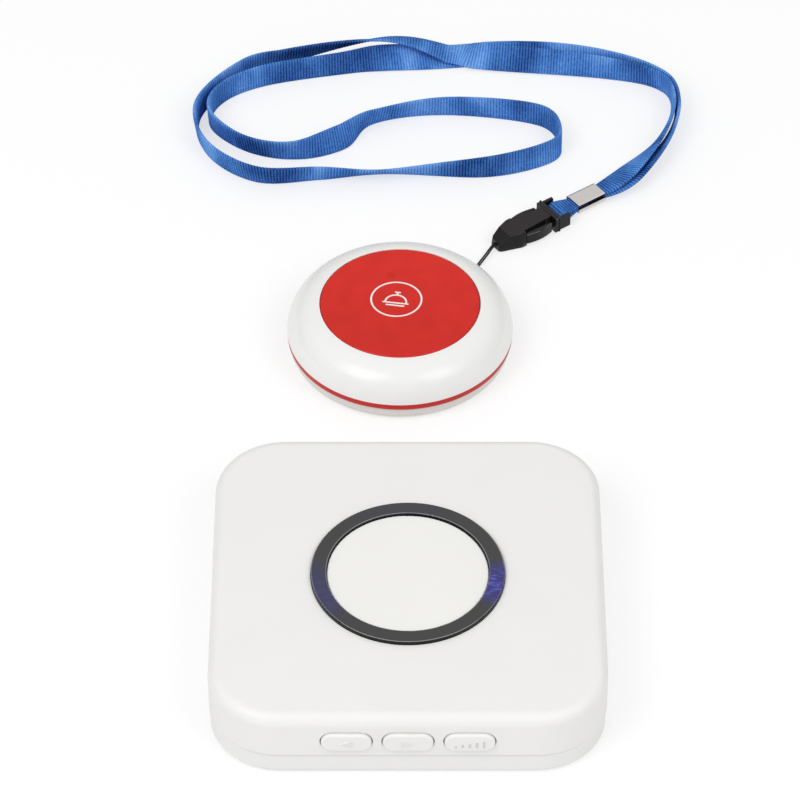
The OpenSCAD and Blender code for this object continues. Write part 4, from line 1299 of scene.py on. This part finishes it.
@dataclass
class Lanyard:
    """Ribbon loop, folded ribbon end, crimp, release buckle and thin strap cord. Sizes are in mm.

    A distance x along the buckle counts from the tip of its nose. A row of the ribbon's route holds x and y
    from the strap post, the lean in degrees (0 stands on edge), and the lift above the table. The fold's
    mouth and slope hold a distance along the buckle, from the crimp and from the bar, and a height. A
    station of the cord holds its distance from the strap post and the gap under it.
    """

    palette: Palette
    post: Point = (12.8745, 85.5024)
    post_d: float = 2.4
    buckle: Point = (12.0, 18.0)
    buckle_deg: float = 36.0
    buckle_chamfer: float = 0.2
    bar_x: float = 22.5
    bar_z: float = 2.5
    bar_r: float = 0.65
    crimp_x: float = 27.7
    crimp_end_x: float = 37.2
    crimp_edge: float = 0.1
    ends_gap: float = 0.4
    ribbon_w: float = 8.0
    loop_w: float = 6.6
    gathered_w: float = 5.0
    pressed_w: float = 3.4
    ribbon_t: float = 0.9
    fold_t: float = 0.86
    layer: float = 0.5
    ribbon_steps: int = 48
    ribbon_ahead: float = 0.02
    path_every: int = 6
    fold_steps: int = 8
    fold_ahead: float = 0.05
    fold_flat: float = 2.3
    fold_mouth: Span = (0.1, 0.03)
    fold_slope: Span = (2.2, 0.8)
    fold_touch: float = 0.3
    fold_turns_deg: range = range(105, 256, 15)
    gather_from: float = 1.5
    gather_to: float = 0.2
    cord_d: float = 0.5
    cord_gap: float = 0.05
    cord_hole_z: float = 1.8
    cord_hole_x: Span = (3.0, -0.4)
    cord_stations: Tuple[Span, ...] = ((16.5, 0.95), (11.0, 0.1), (6.0, 0.95))
    cord_post_z: float = 2.7
    cord_turns_deg: range = range(90, 271, 20)
    cord_steps: int = 32
    route: Sequence[Tuple[float, float, float, float]] = (
        (50, 47, -66, 1.8), (60, 61, -30, 0.8), (64.8, 76, -6, 0.2), (62, 87.5, 8, 0),
        (46, 94, -2, 0), (11, 99.6, -40, 0.4), (1, 102.5, -85, 1.6), (-19, 103.4, -122, 4.8),
        (-51, 98.5, -165, 0), (-64, 90.5, -180, 0), (-74, 74, -185, 0), (-70, 57, -192, 0),
        (-56, 46, -196, 0), (-38, 46.5, -204, 0), (-19, 48, -224, 0), (9, 49, -184, 0),
        (27, 55, -175, 0), (31.5, 62, -180, 0), (25.5, 72.5, -180, 0), (-1, 76.5, -170, 0),
        (-22, 72, -160, 0), (-32, 62.5, -200, 0), (-46, 56.5, -170, 0), (-60, 60, -165, 0),
        (-70, 71, -175, 0), (-67.5, 82, -180, 0), (-55, 90.5, -180, 0), (-31, 96.5, -175, 0),
        (-19, 99.4, -146, 0), (1, 102.5, -95, 0), (11, 102.5, -120, 0), (46.5, 97.3, -180, 0),
        (63, 88.3, -188, 0), (66.1, 75.8, -174, 0), (61.5, 60.2, -148, 0), (51.2, 46, -114, 0.4),
    )

    def buckle_point(self, x: float, y: float = 0.0) -> Vector:
        """Give a place on or beside the buckle's middle line, seen from the strap post.

        Args:
            x: distance along the buckle, in mm.
            y: distance to the left of its middle line, in mm.

        Returns:
            The place in mm.
        """
        turn = math.radians(self.buckle_deg)
        return Vector((
            self.buckle[0] + x * math.cos(turn) - y * math.sin(turn),
            self.buckle[1] + x * math.sin(turn) + y * math.cos(turn),
        ))

    def to_row(self, x: float, y: float, z: float) -> Vector:
        """Turn a place in mm from the strap post, and above the table, into the row frame in metres."""
        return Vector(((self.post[0] + x) * MM, (self.post[1] + y) * MM, z * MM))

    def crimp_middle(self) -> float:
        """Give the distance along the buckle at which the ribbon ends and the fold meet in the crimp."""
        return (self.crimp_x + self.crimp_end_x) / 2

    def ribbon_curve(self) -> SmoothCurve:
        """Run the ribbon from its upper end in the crimp along its route to its lower end.

        Returns:
            A curve of x, y, lean, lift and width.
        """
        inside = self.buckle_point(self.crimp_middle() + self.ends_gap / 2)
        mouth = self.buckle_point(self.crimp_end_x)
        upper = self.bar_z + self.layer - self.ribbon_t / 2
        lower = self.bar_z - self.layer - self.ribbon_t / 2
        flat_deg = -90.0
        ends = ((inside, self.pressed_w), (mouth, self.gathered_w))
        start = [(*place, flat_deg, upper, width) for place, width in ends]
        free = [(*row, self.ribbon_w) for row in self.route]
        end = [(*place, flat_deg, lower, width) for place, width in ends[::-1]]
        return SmoothCurve([*start, *free, *end])

    def ribbon_sections(self) -> List[BandSection]:
        """Follow the ribbon and lean it at each place.

        Returns:
            Sections close together.
        """
        curve = self.ribbon_curve()
        up = Vector((0.0, 0.0, 1.0))
        sections: List[BandSection] = []
        for place in curve.places(self.ribbon_steps):
            x, y, lean_deg, lift, width = curve.at(place)
            ahead = curve.way(place, self.ribbon_ahead)
            along = Vector((ahead[0], ahead[1], 0.0)).normalized()
            lean = math.radians(lean_deg)
            across = up.cross(along) * math.sin(lean) + up * math.cos(lean)
            rest = width / 2 * abs(math.cos(lean)) + self.ribbon_t / 2 * abs(math.sin(lean))
            middle = self.to_row(x, y, rest + max(0.0, lift))
            sections.append(BandSection(middle, across, along.cross(across), width * MM))
        return sections

    def build_ribbon(self) -> str:
        """Returns:
            The ribbon's name and length.
        """
        sections = self.ribbon_sections()
        mesh = RibbedBand().build("ribbon_band", sections)
        ribbon = new_piece("ribbon_band", mesh, self.palette.ribbon, Body.PENDANT)
        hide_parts("lanyard_ribbon")
        path = [section.middle for section in sections[::self.path_every]] + [sections[-1].middle]
        length = path_length(path)
        return f"{ribbon.name}, {length / MM:.0f} mm long"

    def fold_curve(self) -> SmoothCurve:
        """Run the folded end from the crimp round the buckle's bar and back.

        Returns:
            A curve of distances along the buckle and above the bar's middle.
        """
        turn_r = self.bar_r + self.ribbon_t / 2
        end_x = self.crimp_middle() - self.ends_gap / 2
        leg = [
            (end_x, self.layer),
            (self.crimp_x + self.fold_flat, self.layer),
            (self.crimp_x - self.fold_mouth[0], self.layer + self.fold_mouth[1]),
            (self.bar_x + self.fold_slope[0], self.fold_slope[1]),
            (self.bar_x + self.fold_touch, turn_r),
        ]
        turns = [math.radians(angle) for angle in self.fold_turns_deg]
        bend = [(self.bar_x + turn_r * math.cos(turn), turn_r * math.sin(turn)) for turn in turns]
        return SmoothCurve([*leg, *bend, *((x, -z) for x, z in leg[::-1])])

    def fold_width(self, x: float) -> float:
        """Give the folded end's width, which narrows from the bar to the crimp and again inside it.

        Args:
            x: distance along the buckle, in mm.

        Returns:
            The width in mm.
        """
        gathered = portion(x, self.bar_x + self.gather_from, self.crimp_x - self.gather_to)
        pressed = portion(x, self.crimp_x, self.crimp_middle() - self.ends_gap / 2)
        width = self.loop_w + (self.gathered_w - self.loop_w) * gathered
        return width + (self.pressed_w - self.gathered_w) * pressed

    def build_loop(self) -> bpy.types.Object:
        """Make the ribbon end that is folded round the buckle's bar.

        Returns:
            The folded piece.
        """
        curve = self.fold_curve()
        turn = math.radians(self.buckle_deg)
        sideways = Vector((-math.sin(turn), math.cos(turn), 0.0))
        forward = Vector((math.cos(turn), math.sin(turn), 0.0))
        sections: List[BandSection] = []
        for place in curve.places(self.fold_steps):
            x, rise = curve.at(place)
            ahead = curve.way(place, self.fold_ahead).normalized()
            along = forward * ahead.x + Vector((0.0, 0.0, ahead.y))
            middle = self.to_row(*self.buckle_point(x), self.bar_z + rise)
            sections.append(BandSection(middle, sideways, along.cross(sideways), self.fold_width(x) * MM))
        mesh = RibbedBand(thickness=self.fold_t * MM).build("ribbon_fold", sections)
        fold = new_piece("ribbon_fold", mesh, self.palette.ribbon, Body.PENDANT)
        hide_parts("buckle_loop")
        return fold

    def cord_strand(self, side: float) -> List[Vector]:
        """Run one strand of the cord from the buckle's nose to the strap post.

        Args:
            side: 1 for the left strand, -1 for the right one.

        Returns:
            Its points in mm, seen from the strap post.
        """
        beside = side * (self.cord_d / 2 + self.cord_gap)
        way = Vector(self.buckle).normalized()
        left = Vector((-way.y, way.x))
        spots = [(self.buckle_point(x, beside), self.cord_hole_z) for x in self.cord_hole_x]
        for reach, gap in self.cord_stations:
            spots.append((way * reach + left * beside, self.cord_d / 2 + gap))
        return [Vector((*spot, z)) for spot, z in spots]

    def cord_path(self) -> List[Vector]:
        """Run the cord from the buckle's nose round the strap post and back.

        Returns:
            Points close together, in the row frame.
        """
        turn_r = (self.post_d + self.cord_d) / 2 + self.cord_gap
        way = math.atan2(self.buckle[1], self.buckle[0])
        turns = [way + math.radians(angle) for angle in self.cord_turns_deg]
        bend = [(turn_r * math.cos(turn), turn_r * math.sin(turn), self.cord_post_z) for turn in turns]
        curve = SmoothCurve([*self.cord_strand(1.0), *bend, *self.cord_strand(-1.0)[::-1]])
        return [self.to_row(*curve.at(place)) for place in curve.places(self.cord_steps)]

    def build_cord(self) -> str:
        """Returns:
            The cord's name and length.
        """
        path = self.cord_path()
        data = bpy.data.curves.new("thin_cord", "CURVE")
        data.dimensions = "3D"
        data.bevel_depth = self.cord_d / 2 * MM
        data.bevel_resolution = 4
        data.use_fill_caps = True
        line = data.splines.new("POLY")
        line.points.add(len(path) - 1)
        for spot, place in zip(line.points, path):
            spot.co = (*place, 1.0)
        cord = new_piece("thin_cord", data, self.palette.cord, Body.PENDANT)
        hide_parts("strap_cord")
        length = path_length(path)
        return f"{cord.name}, {length / MM:.0f} mm long"

    def build(self) -> List[str]:
        """Make the soft pieces and finish the hard ones.

        Returns:
            The names of all pieces.
        """
        plug = ("buckle_nose", "buckle_arm_front", "buckle_arm_rear")
        black = self.palette.buckle_black
        done = [dress(node, black, self.buckle_chamfer * MM, 1) for node in (*plug, "buckle_socket")]
        done.append(dress("ribbon_crimp", self.palette.nickel, self.crimp_edge * MM))
        fold = self.build_loop()
        ribbon = self.build_ribbon()
        cord = self.build_cord()
        return [*done, fold.name, ribbon, cord]


@dataclass
class Pendant:
    """Round call pendant: finishes of its CAD nodes and the printed sign on its disc. Sizes are in mm."""

    palette: Palette
    middle: Point = (-2.0, 63.45)
    lamp_offset: Point = (-2.6, 11.0)
    disc_top: float = 16.2
    band_edge: float = 0.1
    sign_offset: Point = (-1.0, 1.2)
    sign_deg: float = -9.0
    ring_r: float = 6.9
    bell_r: float = 2.9
    bell_y: float = -1.2
    rim_half: float = 3.6
    rim_drop: float = 0.3
    foot_half: float = 2.6
    foot_drop: float = 1.3
    knob_half: float = 0.8
    knob_rise: float = 1.1
    line_w: float = 0.5
    print_h: float = 0.03

    def arc(self, radius: float, middle_y: float, turns_deg: range) -> List[Point]:
        """Give points on an arc of the sign.

        Args:
            radius: the arc's radius, in mm.
            middle_y: how far its middle lies above the sign's middle.
            turns_deg: angles of the points.

        Returns:
            The points in mm.
        """
        turns = [math.radians(angle) for angle in turns_deg]
        return [(radius * math.cos(turn), middle_y + radius * math.sin(turn)) for turn in turns]

    def draw_sign(self) -> RaisedSign:
        """Draw a plain counter bell inside a ring.

        Returns:
            The sign.
        """
        sign = RaisedSign(self.print_h)
        sign.line(self.arc(self.ring_r, 0.0, range(0, 360, 5)), self.line_w, closed=True)
        sign.line(self.arc(self.bell_r, self.bell_y, range(0, 181, 12)), self.line_w)
        top_y = self.bell_y + self.bell_r
        knob_y = top_y + self.knob_rise
        levels = (
            (self.rim_half, self.bell_y - self.rim_drop),
            (self.foot_half, self.bell_y - self.foot_drop),
            (self.knob_half, knob_y),
        )
        for half, y in levels:
            sign.line([(-half, y), (half, y)], self.line_w)
        sign.line([(0.0, top_y + self.line_w / 2), (0.0, knob_y - self.line_w / 2)], self.line_w)
        return sign

    def build(self) -> List[str]:
        """Finish the nodes and print the sign.

        Returns:
            The names of all pieces.
        """
        look = self.palette
        finishes = (
            (look.shell_white, ("pendant_shell",)),
            (look.call_red, ("call_button",)),
            (look.pendant_grey, ("pendant_base",)),
            (look.board_green, ("pendant_board",)),
            (look.black, ("call_switch",)),
            (look.lamp, ("indicator_led",)),
            (look.steel, ("coin_cell", "cell_clip", "pendant_screws", "strap_post")),
        )
        done = [dress(node, finish) for finish, nodes in finishes for node in nodes]
        done.append(dress("seam_ring", look.band_red, self.band_edge * MM))
        x, y = Vector(self.middle) + Vector(self.sign_offset)
        place = Matrix.Translation(Vector((x, y, self.disc_top)) * MM)
        pose = place @ Matrix.Rotation(math.radians(self.sign_deg), 4, "Z")
        mesh = self.draw_sign().set_on("bell_sign", pose)
        sign = new_piece("bell_sign", mesh, look.print_white, Body.CALL)
        return [*done, sign.name]


@dataclass(frozen=True)
class ButtonSign:
    """Sign on a side button: its shapes in mm, how far it stands out, its finish and its button."""

    name: str
    body: Body
    row_place: int
    outlines: Sequence[Sequence[Point]]
    height: float
    finish: bpy.types.Material


@dataclass
class Receiver:
    """Square desk receiver: finishes of its CAD nodes and the signs on its buttons. Sizes are in mm."""

    palette: Palette
    middle_y: float = -43.55
    front: float = 50.9
    seam_z: float = 6.4
    ring_top: float = 21.1
    button_pitch: float = 15.3
    button_z: float = 12.1
    arrow: Tuple[Point, ...] = ((-1.7, -0.1), (1.5, 1.2), (1.5, -1.4))
    arrow_h: float = 0.2
    bar_h: float = 0.1
    bar_count: int = 5
    bar_pitch: float = 1.75
    bar_w: float = 0.6
    bar_foot: float = -1.5
    first_bar_h: float = 0.8
    bar_growth: float = 0.38

    def volume_bars(self) -> List[List[Point]]:
        """Draw bars that grow to the right.

        Returns:
            Closed outlines in mm.
        """
        bars: List[List[Point]] = []
        for i in range(self.bar_count):
            left = self.bar_pitch * (i - (self.bar_count - 1) / 2) - self.bar_w / 2
            right = left + self.bar_w
            top = self.bar_foot + self.first_bar_h + self.bar_growth * i
            bars.append([(left, self.bar_foot), (right, self.bar_foot), (right, top), (left, top)])
        return bars

    def put_sign(self, sign: ButtonSign) -> str:
        """Raise a sign on the face of its button.

        Args:
            sign: the sign.

        Returns:
            The sign's name.
        """
        x = self.button_pitch * sign.row_place
        place = Vector((x, self.middle_y - self.front, self.button_z)) * MM
        pose = Matrix.Translation(place) @ Matrix.Rotation(math.radians(90), 4, "X")
        raised = RaisedSign(sign.height)
        for outline in sign.outlines:
            raised.fill(outline)
        piece = new_piece(sign.name, raised.set_on(sign.name, pose), sign.finish, sign.body)
        return piece.name

    def build(self) -> List[str]:
        """Finish the nodes and raise the signs.

        Returns:
            The names of all pieces.
        """
        look = self.palette
        finishes = (
            (look.receiver_white, ("top_cover", "button_previous", "button_next", "button_volume")),
            (look.disc_white, ("centre_disc",)),
            (look.smoked, ("light_ring",)),
            (look.base_white, ("back_cover", "battery_door")),
            (look.board_green, ("led_board", "main_board")),
            (look.lamp, ("leds",)),
            (look.steel, ("led_screws", "board_screws", "case_screws")),
            (look.steel, ("battery_plates", "battery_springs")),
            (look.black, ("side_switches",)),
            (look.brass, ("antenna",)),
            (look.speaker_grey, ("speaker_frame",)),
            (look.fibre, ("speaker_cone",)),
            (look.cell_blue, ("battery_cells",)),
            (look.rubber, ("rubber_feet",)),
        )
        done = [dress(node, finish) for finish, nodes in finishes for node in nodes]
        forward = [(-x, y) for x, y in self.arrow]
        signs = (
            ButtonSign("previous_sign", Body.PREVIOUS, -1, [self.arrow], self.arrow_h, look.sign_white),
            ButtonSign("next_sign", Body.NEXT, 0, [forward], self.arrow_h, look.sign_white),
            ButtonSign("volume_sign", Body.VOLUME, 1, self.volume_bars(), self.bar_h, look.mark_grey),
        )
        return [*done, *(self.put_sign(sign) for sign in signs)]


def main() -> None:
    """Build the set in order."""
    logging.basicConfig(level=logging.INFO, format="%(name)s: %(message)s")
    Studio().build()
    palette = Palette()
    for assembly in (Lanyard(palette), Pendant(palette), Receiver(palette)):
        for piece in assembly.build():
            LOG.info("%s: %s", type(assembly).__name__, piece)
    LOG.info("set is built")


if __name__ == "__main__":
    main()
